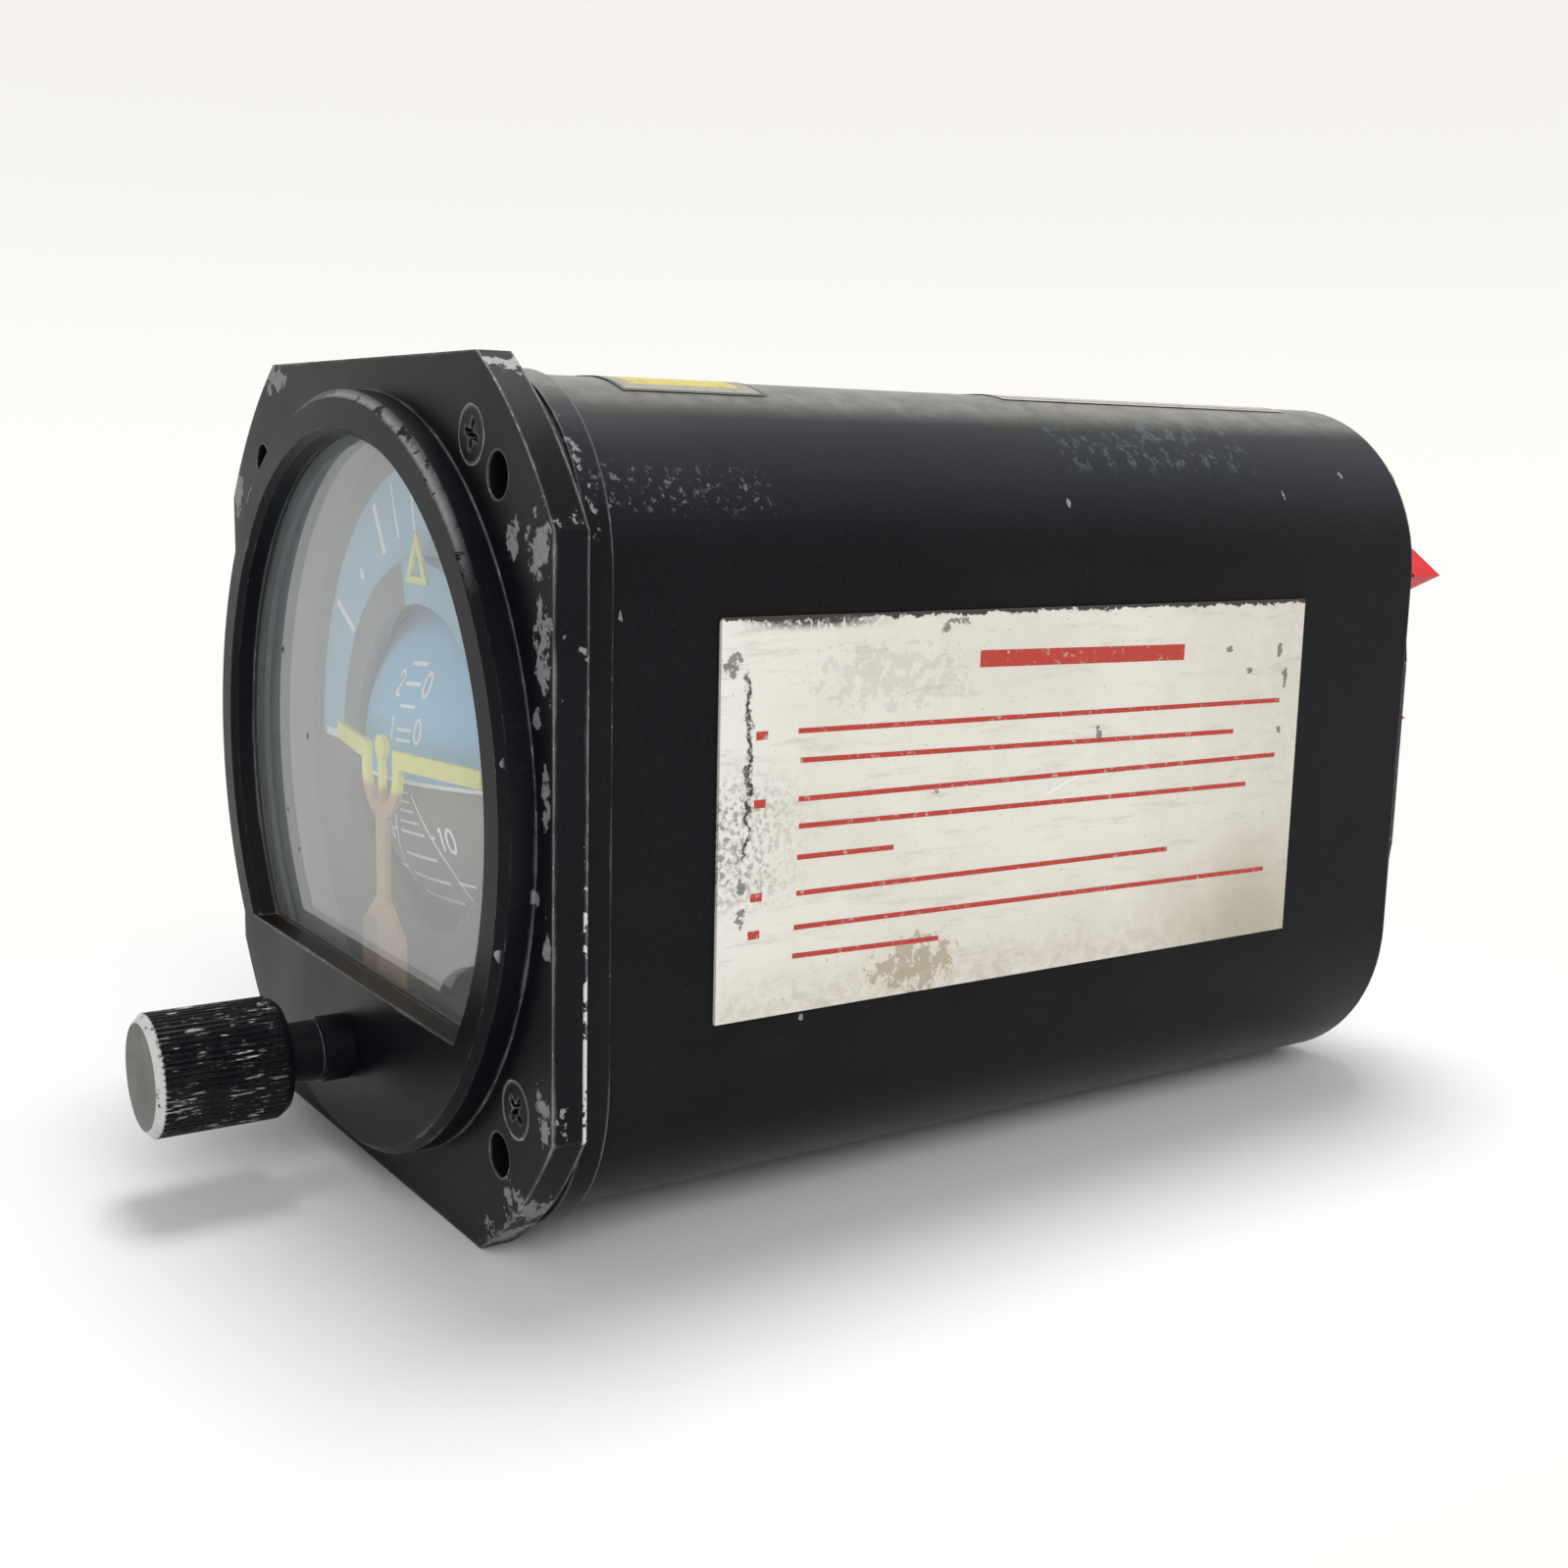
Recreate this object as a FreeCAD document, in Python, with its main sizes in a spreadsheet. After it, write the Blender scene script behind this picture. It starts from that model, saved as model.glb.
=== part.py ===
import FreeCAD, Part
import os
import re

import Sketcher

# Panel mounted attitude indicator, in millimetres.
# X points right as seen from the front, Y points back into the panel and Z points up.
# The origin is the centre of the flange's front face.

Vector = FreeCAD.Vector
Rotation = FreeCAD.Rotation
Placement = FreeCAD.Placement

doc = FreeCAD.newDocument("AttitudeIndicator")
sheet = doc.addObject("Spreadsheet::Sheet", "Dims")
nodes = []

SIZES = [
    # bezel casting
    ("flange_half", 42.36, "half width of the square flange"),
    ("flange_corner_radius", 50.3, "flange corners, an arc about the centre line"),
    ("flange_thick", 3.4, "flange thickness"),
    ("ring_radius", 39.2, "raised ring that enters the panel hole"),
    ("ring_height", 3.3, "height of the ring in front of the flange"),
    ("ring_chamfer", 0.8, "chamfer round the ring's front edge"),
    ("window_radius", 34.8, "window opening"),
    ("lip_depth", 0.7, "rear face of the window lip, in front of the flange face"),
    ("window_bevel", 0.7, "bevel round the front of the window"),
    ("mount_spacing", 62.86, "square pattern of the panel screws"),
    ("mount_hole_radius", 2.15, "panel screw holes"),
    ("mount_hole_depth", 10.0, "depth of the panel screw holes in the case"),
    ("bezel_screw_circle", 43.5, "radius of the circle of bezel screws"),
    ("bezel_screw_angle", 53.4, "first bezel screw, degrees up from the right"),
    ("bezel_screw_shank", 1.4, "bezel screw shank radius"),
    ("bezel_screw_head", 2.8, "bezel screw head radius"),
    ("bezel_screw_length", 10.0, "length of the bezel screws"),
    ("cross_reach", 1.55, "half length of the cross recess in a screw head"),
    ("cross_half", 0.38, "half width of the arms of that recess"),
    ("cross_depth", 1.0, "depth of that recess"),
    # glass and what holds it
    ("gasket_thick", 0.4, "thickness of every flat gasket"),
    ("glass_rim", 1.3, "how far the glass reaches beyond the window"),
    ("glass_thick", 2.0, "window glass"),
    ("seat_clearance", 0.1, "play round pieces that drop into a seat"),
    ("retainer_rim", 2.6, "how far the retainer reaches beyond the glass"),
    ("retainer_lap", 2.2, "how far the retainer laps over the glass"),
    ("retainer_thick", 0.6, "sheet thickness of the glass retainer"),
    ("retainer_screw_shank", 0.65, "retainer screw shank radius"),
    ("retainer_screw_head", 1.1, "retainer screw head radius"),
    ("retainer_screw_head_height", 0.8, "retainer screw head height"),
    ("retainer_screw_reach", 2.4, "length of the retainer screws in the bezel"),
    # case
    ("case_half", 40.7, "half width of the case"),
    ("case_corner", 19.5, "corner radius of the case"),
    ("case_back", 113.2, "rear edge of the case"),
    ("collar_half", 41.1, "half width of the collar behind the flange"),
    ("collar_corner", 18.0, "corner radius of the collar"),
    ("collar_length", 2.6, "length of the collar"),
    ("case_bore", 36.8, "bore of the case"),
    ("card_bore", 38.0, "wider bore in front of the scale card"),
    ("card_seat", 9.3, "ledge that the scale card lies on"),
    ("rear_screw_shank", 1.45, "rear cover screw shank radius"),
    ("rear_screw_head", 2.5, "rear cover screw head radius"),
    ("rear_screw_head_height", 1.6, "rear cover screw head height"),
    ("rear_screw_length", 9.0, "length of the rear cover screws"),
    ("rear_screw_offset", 31.4, "rear cover screws, across and up from the centre line"),
    # rear cover
    ("cover_half", 40.4, "half width of the rear cover"),
    ("cover_corner", 18.5, "corner radius of the rear cover"),
    ("cover_thick", 2.4, "rear cover plate"),
    ("cover_notch_half", 11.0, "half width of the notch in each side of the cover"),
    ("cover_notch_depth", 1.6, "depth of those notches"),
    ("port_boss_radius", 8.2, "cast boss round each port"),
    ("port_boss_height", 2.4, "height of the port bosses"),
    ("outlet_across", 26.0, "vacuum outlet, right of the centre line"),
    ("outlet_up", 21.5, "vacuum outlet, above the centre line"),
    ("inlet_across", 22.5, "air inlet, right of the centre line"),
    ("inlet_up", 3.1, "air inlet, above the centre line"),
    ("port_thread", 5.0, "port fitting thread radius"),
    ("port_bore", 3.3, "port fitting bore radius"),
    ("port_hex", 7.9, "port fitting hexagon, radius over its corners"),
    ("port_hex_height", 3.0, "height of the hexagon"),
    ("plug_spigot_length", 5.0, "part of the plug inside the fitting"),
    ("plug_flange", 6.6, "plug flange radius"),
    ("plug_flange_thick", 0.8, "plug flange thickness"),
    ("plug_head", 8.2, "three sided plug head, radius over its corners"),
    ("plug_head_length", 4.8, "length of the plug head"),
    ("plug_head_turn", -4.5, "turn of the plug heads, degrees"),
    # trim knob
    ("knob_drop", 29.0, "knob axis below the centre line"),
    ("sill_above_knob", 8.0, "flat sill of the window above the knob's axis"),
    ("window_chord", "=knob_drop - sill_above_knob", "depth of the sill below the centre line"),
    ("knob_radius", 6.35, "knob radius"),
    ("knob_front", 24.4, "knob's front face in front of the flange"),
    ("knob_length", 13.9, "length of the knob"),
    ("knob_front_bevel", 0.8, "bevel at the knob's front"),
    ("knob_rear_bevel", 0.6, "bevel at the knob's back"),
    ("knurl_count", 60, "grooves round the knob"),
    ("knurl_depth", 0.28, "depth of the knurl grooves"),
    ("knurl_half_width", 0.25, "half width of a groove at the knob's surface"),
    ("knob_cap_radius", 5.45, "plain disc let into the knob's front"),
    ("knob_cap_thick", 0.4, "thickness of that disc"),
    ("shaft_radius", 3.175, "knob shaft"),
    ("shaft_in_knob", 10.5, "length of shaft inside the knob"),
    ("bushing_front", 6.3, "front end of the bushing in front of the flange"),
    ("bushing_collar", 3.45, "bushing collar radius"),
    ("bushing_thread", 3.0, "bushing thread radius"),
    ("journal_radius", 2.0, "thin part of the shaft in the bushing"),
    ("running_clearance", 0.05, "radial play of shafts that turn or slide"),
    ("nut_radius", 4.3, "bushing nut, radius over its corners"),
    ("nut_thick", 0.9, "bushing nut"),
    ("nut_pocket_depth", 1.0, "pocket for the nut in front of the recess"),
    ("nut_pocket_play", 0.4, "radial room round the nut"),
    ("recess_half", 6.5, "half width of the recess behind the sill"),
    ("recess_front", 2.2, "front of that recess, behind the flange face"),
    ("recess_drop", 7.5, "bottom of that recess below the knob's axis"),
    # pinion, rack and aeroplane bar
    ("pinion_front", 3.5, "front of the pinion and of the slider"),
    ("pinion_length", 1.5, "pinion width and slider thickness"),
    ("pitch_radius", 2.4, "pinion pitch radius"),
    ("tooth_count", 12, "pinion teeth"),
    ("addendum", 0.4, "tooth height outside the pitch line"),
    ("dedendum", 0.5, "tooth depth inside the pitch line"),
    ("tooth_half_pitch", 0.21, "half thickness of a tooth at the pitch line"),
    ("tooth_half_tip", 0.1, "half thickness of a tooth at its tip"),
    ("tooth_half_root", 0.36, "half thickness of a tooth at its root"),
    ("pinion_seat", 1.4, "shaft radius under the pinion"),
    ("clip_radius", 2.2, "retaining clip radius"),
    ("clip_thick", 0.4, "retaining clip thickness"),
    ("slider_half", 7.0, "half width of the slider"),
    ("slider_top", 7.4, "top of the slider above the knob's axis"),
    ("slider_shoulder", 2.5, "top of the slider's wide part above the knob's axis"),
    ("slider_bottom", 4.6, "bottom of the slider below the knob's axis"),
    ("slider_neck_half", 4.8, "half width of the slider's narrow top"),
    ("slot_half", 3.3, "half width of the slot round the pinion"),
    ("slot_top", 5.95, "top of that slot above the knob's axis"),
    ("guide_width", 2.5, "width of each slider guide"),
    ("guide_lip", 0.9, "how far a guide laps behind the slider"),
    ("guide_lip_thick", 0.6, "thickness of that lip"),
    ("guide_top", 4.6, "top of the guides above the knob's axis"),
    ("guide_bottom", 5.4, "bottom of the guides below the knob's axis"),
    ("guide_screw_shank", 0.7, "guide screw shank radius"),
    ("guide_screw_head", 1.05, "guide screw head radius"),
    ("guide_screw_head_height", 0.6, "guide screw head height"),
    ("guide_screw_reach", 2.0, "length of the guide screws in the bezel"),
    ("guide_screw_inset", 1.7, "guide screws from the ends of the guides"),
    ("guide_screw_shift", 0.2, "guide screws outside the middle of the rails"),
    ("symbol_front", 2.5, "front of the aeroplane symbol"),
    ("symbol_thick", 0.6, "sheet thickness of the aeroplane symbol"),
    ("wing_tip", 16.0, "wing tip from the centre line"),
    ("fork_radius", 5.0, "outside radius of the fork"),
    ("fork_band", 1.6, "width of the fork's legs"),
    ("fork_up", 0.1, "centre of the fork's curve above the centre line"),
    ("stem_half", 0.45, "half width of the stem under the dot"),
    ("wing_low", 1.0, "lower edge of the wing bars at the root"),
    ("wing_chord", 1.8, "width of the wing bars"),
    ("centre_dot", 1.3, "radius of the symbol's centre dot"),
    ("centre_dot_up", 2.7, "height of the centre dot"),
    ("post_half", 1.25, "half width of the post"),
    ("post_low", 13.4, "where the post widens, below the centre line"),
    ("foot_half", 5.4, "half width of the foot"),
    ("foot_low", 17.0, "where the foot is full width, below the centre line"),
    ("tab_below_sill", 3.3, "lower edge of the foot below the sill"),
    ("slide_travel", 2.93, "travel of the aeroplane bar up or down"),
    ("notch_play", 0.35, "room round the knob shaft in the foot's notch"),
    # scale card
    ("card_hole", 22.4, "hole in the scale card"),
    ("card_thick", 0.8, "scale card"),
    ("spacer_width", 1.7, "radial width of the card spacer"),
    ("spacer_front", 3.5, "front of the card spacer"),
    ("spacer_gap_half", 8.6, "half width of the gap in the spacer"),
    # gimbal
    ("post_radius", 5.0, "hollow post that carries the gimbal"),
    ("post_bore", 3.0, "air passage in the post"),
    ("post_front", 99.0, "front end of the post"),
    ("post_flange", 12.0, "flange of the post"),
    ("post_flange_thick", 2.0, "flange thickness"),
    ("race_wall", 1.2, "radial thickness of a bearing race"),
    ("bearing_radius", 9.5, "outside radius of the gimbal bearings"),
    ("bearing_width", 3.5, "width of a gimbal bearing"),
    ("bearing_front", 100.2, "front of the front bearing"),
    ("bearing_pitch", 7.0, "distance between the two bearings"),
    ("shield_thick", 0.4, "bearing shields"),
    ("hub_radius", 12.0, "gimbal hub"),
    ("hub_front", 98.5, "front of the gimbal's rear plate"),
    ("hub_back", 110.9, "rear end of the gimbal hub"),
    ("yoke_thick", 1.7, "rear plate of the gimbal"),
    ("yoke_half_height", 7.0, "half height of the rear plate"),
    ("yoke_disc", 15.0, "round middle of the rear plate"),
    ("arm_inside", 29.0, "inner faces of the gimbal arms"),
    ("arm_thick", 3.0, "gimbal arms"),
    ("arm_half_height", 5.0, "half height of the gimbal arms"),
    ("front_ring_front", 10.3, "front face of the gimbal's front ring"),
    ("front_ring_thick", 2.0, "thickness of the front ring"),
    ("front_ring_inside", 20.6, "hole in the front ring, at its front"),
    ("front_ring_flare", 1.9, "how much wider that hole is at its back"),
    ("front_ring_outside", 32.6, "outside radius of the front ring"),
    ("bush_radius", 3.5, "pivot bushes"),
    ("spindle_radius", 1.5, "pivot spindles"),
    ("spindle_end", 31.8, "outer end of the spindles"),
    ("pointer_front", 7.0, "front face of the pointer ring"),
    ("pointer_thick", 0.8, "thickness of the pointer ring"),
    ("pointer_inside", 17.5, "inside radius of the pointer ring"),
    ("pointer_outside", 22.0, "outside radius of the pointer ring"),
    ("pointer_skirt", 20.4, "inside radius of the ring's skirt"),
    ("sky_pointer_low", 19.6, "base of the sky pointer above the centre line"),
    ("sky_pointer_high", 25.3, "tip of the sky pointer above the centre line"),
    ("sky_pointer_half", 2.9, "half width of the sky pointer"),
    ("sky_pointer_band", 0.75, "width of the sky pointer's outline"),
    ("sky_pointer_thick", 0.3, "sheet thickness of the sky pointer"),
    # horizon ball
    ("ball_centre", 31.0, "ball's pivot behind the flange"),
    ("ball_radius", 26.0, "horizon ball at its middle, about its pivot"),
    ("ball_across", 39.7, "half axis of the ball's oval section along its pivot"),
    ("ball_half", 16.5, "half width of the ball between its flat sides"),
    ("ball_wall", 1.2, "ball wall"),
    ("ball_sweep", 204.0, "angle that the ball's face covers, degrees"),
    ("ball_hub", 4.0, "hubs in the ball's sides"),
    ("ball_hub_depth", 2.6, "length of those hubs"),
    # rotor housing
    ("housing_centre", 78.0, "housing's pivot behind the flange"),
    ("can_radius", 14.5, "rotor housing"),
    ("can_wall", 0.8, "rotor housing wall"),
    ("can_half", 13.0, "half height of the rotor housing"),
    ("can_floor", 1.5, "housing floor and cover"),
    ("rotor_bearing_radius", 3.5, "rotor bearings"),
    ("rotor_bearing_width", 2.0, "rotor bearing width"),
    ("bearing_boss", 4.6, "bosses round the rotor bearings"),
    ("trunnion_boss", 4.0, "trunnion bosses"),
    ("trunnion_boss_end", 17.5, "outer faces of the trunnion bosses"),
    ("rotor_radius", 13.2, "rotor wheel"),
    ("rim_half", 5.0, "half width of the rotor's rim"),
    ("rim_inside", 9.0, "inner radius of the rotor's rim"),
    ("web_half", 1.2, "half thickness of the rotor's web"),
    ("rotor_hub", 3.2, "rotor's hub"),
    ("bucket_count", 24, "buckets round the rotor"),
    ("bucket_depth", 1.3, "depth of a bucket"),
    ("bucket_width", 1.9, "length of a bucket round the rim"),
    ("bucket_half_height", 2.6, "half height of a bucket"),
    # cranks and link
    ("crank_radius", 8.0, "crank pins above their pivots"),
    ("crank_inside", 22.5, "inner faces of the cranks"),
    ("crank_thick", 1.5, "crank thickness"),
    ("crank_hub", 3.4, "round end of a crank at its pivot"),
    ("crank_eye", 2.2, "round end of a crank at its pin"),
    ("crank_pin", 1.0, "crank pin radius"),
    ("crank_pin_end", 27.2, "outer end of the crank pins"),
    ("link_inside", 24.9, "inner face of the pitch link"),
    ("link_thick", 1.5, "pitch link thickness"),
    ("link_half", 2.0, "half width of the link's eyes"),
    ("link_waist_half", 1.3, "half width of the link between its eyes"),
    ("link_end_clearance", 0.35, "radial play at the link's front eye"),
    # erection vanes
    ("vane_block_half", 6.0, "half width of the vane block"),
    ("vane_block_height", 5.0, "height of the vane block"),
    ("vane_rod_radius", 0.5, "vane rods"),
    ("side_rod_drop", 14.3, "side vane rod below the housing's pivot"),
    ("fore_rod_drop", 16.0, "fore and aft vane rod below the housing's pivot"),
    ("vane_thick", 0.5, "vane thickness"),
    ("vane_half", 2.4, "half width of a vane"),
    ("vane_top", 13.5, "upper edge of the vanes below the housing's pivot"),
    ("vane_low", 18.5, "lower edge of the vanes below the housing's pivot"),
    # placard and labels
    ("placard_front", 17.5, "front edge of the side placard"),
    ("placard_length", 77.1, "length of the side placard"),
    ("placard_bottom", 18.9, "lower edge of the placard below the centre line"),
    ("placard_height", 38.1, "height of the side placard"),
    ("placard_thick", 0.4, "thickness of the placard"),
    ("label_thick", 0.15, "thickness of the top labels"),
]

ALIASES = {alias for alias, value, note in SIZES}


def fill_sheet():
    for row, (alias, value, note) in enumerate(SIZES, start=1):
        sheet.set("A%d" % row, note)
        sheet.set("B%d" % row, str(value))
        sheet.setAlias("B%d" % row, alias)
    doc.recompute()


def sized(expression):
    """Turn the names of sizes in an expression into references to the sheet."""
    def refer(match):
        word = match.group(0)
        return "Dims." + word if word in ALIASES else word
    return re.sub(r"[A-Za-z_]+", refer, str(expression))


def number(expression):
    """The present value of an expression."""
    result = sheet.evalExpression(sized(expression))
    return float(getattr(result, "Value", result))


def bind(item, sizes):
    for path, expression in sizes.items():
        item.setExpression(path, sized(expression))


def node(label, item):
    """Name a finished sub-part."""
    item.Label = label
    nodes.append(item)
    return item


# --- primitives and booleans ----------------------------------------------------------

TURN = {"X": Rotation(Vector(0, 1, 0), 90), "Y": Rotation(Vector(1, 0, 0), -90), "Z": Rotation()}


def placed(item, at, rotation=None):
    item.Placement = Placement(Vector(), rotation or Rotation())
    bind(item, {"Placement.Base.x": at[0], "Placement.Base.y": at[1], "Placement.Base.z": at[2]})
    return item


def cylinder(radius, length, at, axis="Y"):
    item = doc.addObject("Part::Cylinder", "Cylinder")
    bind(item, {"Radius": radius, "Height": length})
    return placed(item, at, TURN[axis])


def cone(radius, end_radius, length, at, axis="Y"):
    item = doc.addObject("Part::Cone", "Cone")
    bind(item, {"Radius1": radius, "Radius2": end_radius, "Height": length})
    return placed(item, at, TURN[axis])


def prism(sides, radius, length, at, turn="0"):
    item = doc.addObject("Part::Prism", "Prism")
    item.Polygon = sides
    bind(item, {"Circumradius": radius, "Height": length})
    placed(item, at, TURN["Y"])
    if turn != "0":
        item.Placement.Rotation = Rotation(Vector(0, 1, 0), -number(turn)) * TURN["Y"]
        bind(item, {"Placement.Base.x": at[0], "Placement.Base.y": at[1], "Placement.Base.z": at[2]})
    return item


def box(low, size):
    """A box from its lowest corner."""
    item = doc.addObject("Part::Box", "Box")
    bind(item, {"Length": size[0], "Width": size[1], "Height": size[2]})
    return placed(item, low)


def slab(half_width, low, height, front, depth):
    """A box that is centred on X."""
    return box((f"-({half_width})", front, low), (f"2 * ({half_width})", depth, height))


def fuse(*items):
    item = doc.addObject("Part::MultiFuse", "Fusion")
    item.Shapes = list(items)
    item.Refine = True
    return item


def common(*items):
    item = doc.addObject("Part::MultiCommon", "Common")
    item.Shapes = list(items)
    return item


def cut(base, *tools):
    item = doc.addObject("Part::Cut", "Cut")
    item.Base = base
    item.Tool = tools[0] if len(tools) == 1 else fuse(*tools)
    return item


def tube(radius, bore, length, at, axis="Y"):
    return cut(cylinder(radius, length, at, axis), cylinder(bore, length, at, axis))


def dee(radius, chord, front, depth):
    """A disc with a flat sill below the centre line."""
    disc = cylinder(radius, depth, ("0", front, "0"))
    above = slab(radius, f"-({chord})", f"({chord}) + ({radius})", front, depth)
    return common(disc, above)


def rounded_bar(half, corner, front, depth):
    """A square bar along Y with round corners."""
    pieces = [slab(half, f"-(({half}) - ({corner}))", f"2 * (({half}) - ({corner}))", front, depth),
              slab(f"({half}) - ({corner})", f"-({half})", f"2 * ({half})", front, depth)]
    for across in ("-", ""):
        for up in ("-", ""):
            at = (f"{across}(({half}) - ({corner}))", front, f"{up}(({half}) - ({corner}))")
            pieces.append(cylinder(corner, depth, at))
    return fuse(*pieces)


def square_pattern(offset):
    return [(f"{across}({offset})", f"{up}({offset})") for across in ("-", "") for up in ("-", "")]


def ring_pattern(radius, angle, count):
    spots = []
    for index in range(count):
        turned = f"(({angle}) + {360.0 / count * index}) * 1deg"
        spots.append((f"({radius}) * cos({turned})", f"({radius}) * sin({turned})"))
    return spots


def rods(radius, length, front, spots):
    return [cylinder(radius, length, (across, front, up)) for across, up in spots]


# --- sketches and bodies --------------------------------------------------------------

def new_body(label):
    item = doc.addObject("PartDesign::Body", label)
    return node(label, item)


def origin_feature(body, role):
    for feature in body.Origin.OriginFeatures:
        if feature.Role == role:
            return feature
    raise ValueError("no " + role)


def new_sketch(body, role, offset="0"):
    item = body.newObject("Sketcher::SketchObject", "Sketch")
    item.AttachmentSupport = [(origin_feature(body, role), "")]
    item.MapMode = "FlatFace"
    item.setExpression("AttachmentOffset.Base.z", sized(offset))
    return item


def outline(sketch, points):
    """A closed outline of straight lines through points given as expressions."""
    places = [Vector(number(across), number(up), 0) for across, up in points]
    first = sketch.GeometryCount
    count = len(points)
    for index in range(count):
        sketch.addGeometry(Part.LineSegment(places[index], places[(index + 1) % count]), False)
    for index in range(count):
        following = first + (index + 1) % count
        sketch.addConstraint(Sketcher.Constraint("Coincident", first + index, 2, following, 1))
    for index, (across, up) in enumerate(points):
        for kind, value, expression in (("DistanceX", places[index].x, across),
                                        ("DistanceY", places[index].y, up)):
            rule = sketch.addConstraint(Sketcher.Constraint(kind, first + index, 1, value))
            sketch.setExpression("Constraints[%d]" % rule, sized(expression))


def circle(sketch, across, up, radius):
    centre = Vector(number(across), number(up), 0)
    shape = sketch.addGeometry(Part.Circle(centre, Vector(0, 0, 1), number(radius)), False)
    for kind, value, expression in (("DistanceX", centre.x, across), ("DistanceY", centre.y, up)):
        rule = sketch.addConstraint(Sketcher.Constraint(kind, shape, 3, value))
        sketch.setExpression("Constraints[%d]" % rule, sized(expression))
    rule = sketch.addConstraint(Sketcher.Constraint("Radius", shape, number(radius)))
    sketch.setExpression("Constraints[%d]" % rule, sized(radius))


def pad(body, sketch, length, towards_back=True):
    """Pad a sketch; on the XZ plane the sketch's own normal points forward."""
    item = body.newObject("PartDesign::Pad", "Pad")
    item.Profile = sketch
    item.Reversed = towards_back
    item.setExpression("Length", sized(length))
    doc.recompute()
    return item


def pocket(body, sketch, length, reverse=False):
    before = body.Shape.Volume
    item = body.newObject("PartDesign::Pocket", "Pocket")
    item.Profile = sketch
    item.Reversed = reverse
    item.setExpression("Length", sized(length))
    doc.recompute()
    if body.Shape.Volume >= before - 1e-6:
        raise ValueError("a pocket in %s cuts nothing" % body.Label)
    return item


def revolve(body, sketch, role, angle="360", midplane=False):
    item = body.newObject("PartDesign::Revolution", "Revolution")
    item.Profile = sketch
    item.ReferenceAxis = (origin_feature(body, role), [""])
    item.Midplane = midplane
    item.setExpression("Angle", sized(angle))
    doc.recompute()
    return item


def polar_pattern(body, feature, role, occurrences):
    item = body.newObject("PartDesign::PolarPattern", "PolarPattern")
    item.Originals = [feature]
    item.Axis = (origin_feature(body, role), [""])
    item.Angle = 360
    item.setExpression("Occurrences", sized(occurrences))
    body.Tip = item
    doc.recompute()
    return item


# --- bezel and window -----------------------------------------------------------------

GLASS_FRONT = "-lip_depth + gasket_thick"
GLASS_BACK = "-lip_depth + gasket_thick + glass_thick"
GLASS_RADIUS = "window_radius + glass_rim"
GLASS_CHORD = "window_chord + glass_rim"
RETAINER_RADIUS = "window_radius + glass_rim + retainer_rim"
RETAINER_CHORD = "window_chord + glass_rim + 1.6"
RETAINER_SCREW_ANGLES = (-20, 35, 90, 145, 200)
BEZEL_SCREW_TURNS = (18, 61, 5, 40)
NUT_FRONT = "recess_front - nut_pocket_depth"
GUIDE_SCREW_DROPS = ("knob_drop - guide_top + guide_screw_inset",
                     "knob_drop + guide_bottom - guide_screw_inset")
GUIDE_SCREW_ACROSS = "(slider_half + guide_width / 2 + guide_screw_shift)"


def bezel_screw_spots():
    return ring_pattern("bezel_screw_circle", "bezel_screw_angle", 4)


def retainer_screw_spots():
    radius = "(window_radius + glass_rim + retainer_rim / 2 + seat_clearance)"
    return [(f"{radius} * cos({angle}deg)", f"{radius} * sin({angle}deg)")
            for angle in RETAINER_SCREW_ANGLES]


def make_bezel():
    square = slab("flange_half", "-flange_half", "2 * flange_half", "0", "flange_thick")
    flange = common(square, cylinder("flange_corner_radius", "flange_thick", ("0", "0", "0")))
    ring = cylinder("ring_radius", "ring_height - ring_chamfer", ("0", "-(ring_height - ring_chamfer)", "0"))
    bevel = cone("ring_radius - ring_chamfer", "ring_radius", "ring_chamfer", ("0", "-ring_height", "0"))
    window = dee("window_radius", "window_chord", "-ring_height", "ring_height")
    lip_bevel = common(cone("window_radius + window_bevel", "window_radius", "window_bevel",
                            ("0", "-ring_height", "0")),
                       slab("window_radius * 2", "-window_chord", "3 * window_radius",
                            "-ring_height", "window_bevel"))
    glass_seat = dee(f"{GLASS_RADIUS} + seat_clearance", f"{GLASS_CHORD} + seat_clearance",
                     "-lip_depth", "lip_depth + flange_thick")
    retainer_seat = dee(f"{RETAINER_RADIUS} + seat_clearance", f"{RETAINER_CHORD} + seat_clearance",
                        GLASS_BACK, f"flange_thick - ({GLASS_BACK})")
    recess = slab("recess_half", "-(knob_drop + recess_drop)",
                  "recess_drop + sill_above_knob - glass_rim",
                  "recess_front", "flange_thick - recess_front")
    bushing_hole = cylinder("bushing_thread", "ring_height + flange_thick", ("0", "-ring_height", "-knob_drop"))
    nut_pocket = cylinder("nut_radius + nut_pocket_play", "nut_pocket_depth", ("0", NUT_FRONT, "-knob_drop"))
    tools = [window, lip_bevel, glass_seat, retainer_seat, recess, bushing_hole, nut_pocket]
    tools += rods("mount_hole_radius", "flange_thick", "0", square_pattern("mount_spacing / 2"))
    for across, up in bezel_screw_spots():
        tools.append(cylinder("bezel_screw_shank + seat_clearance", "flange_thick", (across, "0", up)))
        tools.append(cone("bezel_screw_head + seat_clearance", "bezel_screw_shank + seat_clearance",
                          "bezel_screw_head - bezel_screw_shank", (across, "0", up)))
    tools += rods("retainer_screw_shank", "retainer_screw_reach",
                  f"{GLASS_BACK} - retainer_screw_reach", retainer_screw_spots())
    for across in ("-", ""):
        for up in GUIDE_SCREW_DROPS:
            at = (f"{across}{GUIDE_SCREW_ACROSS}", "flange_thick - guide_screw_reach", f"-({up})")
            tools.append(cylinder("guide_screw_shank", "guide_screw_reach", at))
    node("bezel", cut(fuse(flange, ring, bevel), *tools))


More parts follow.
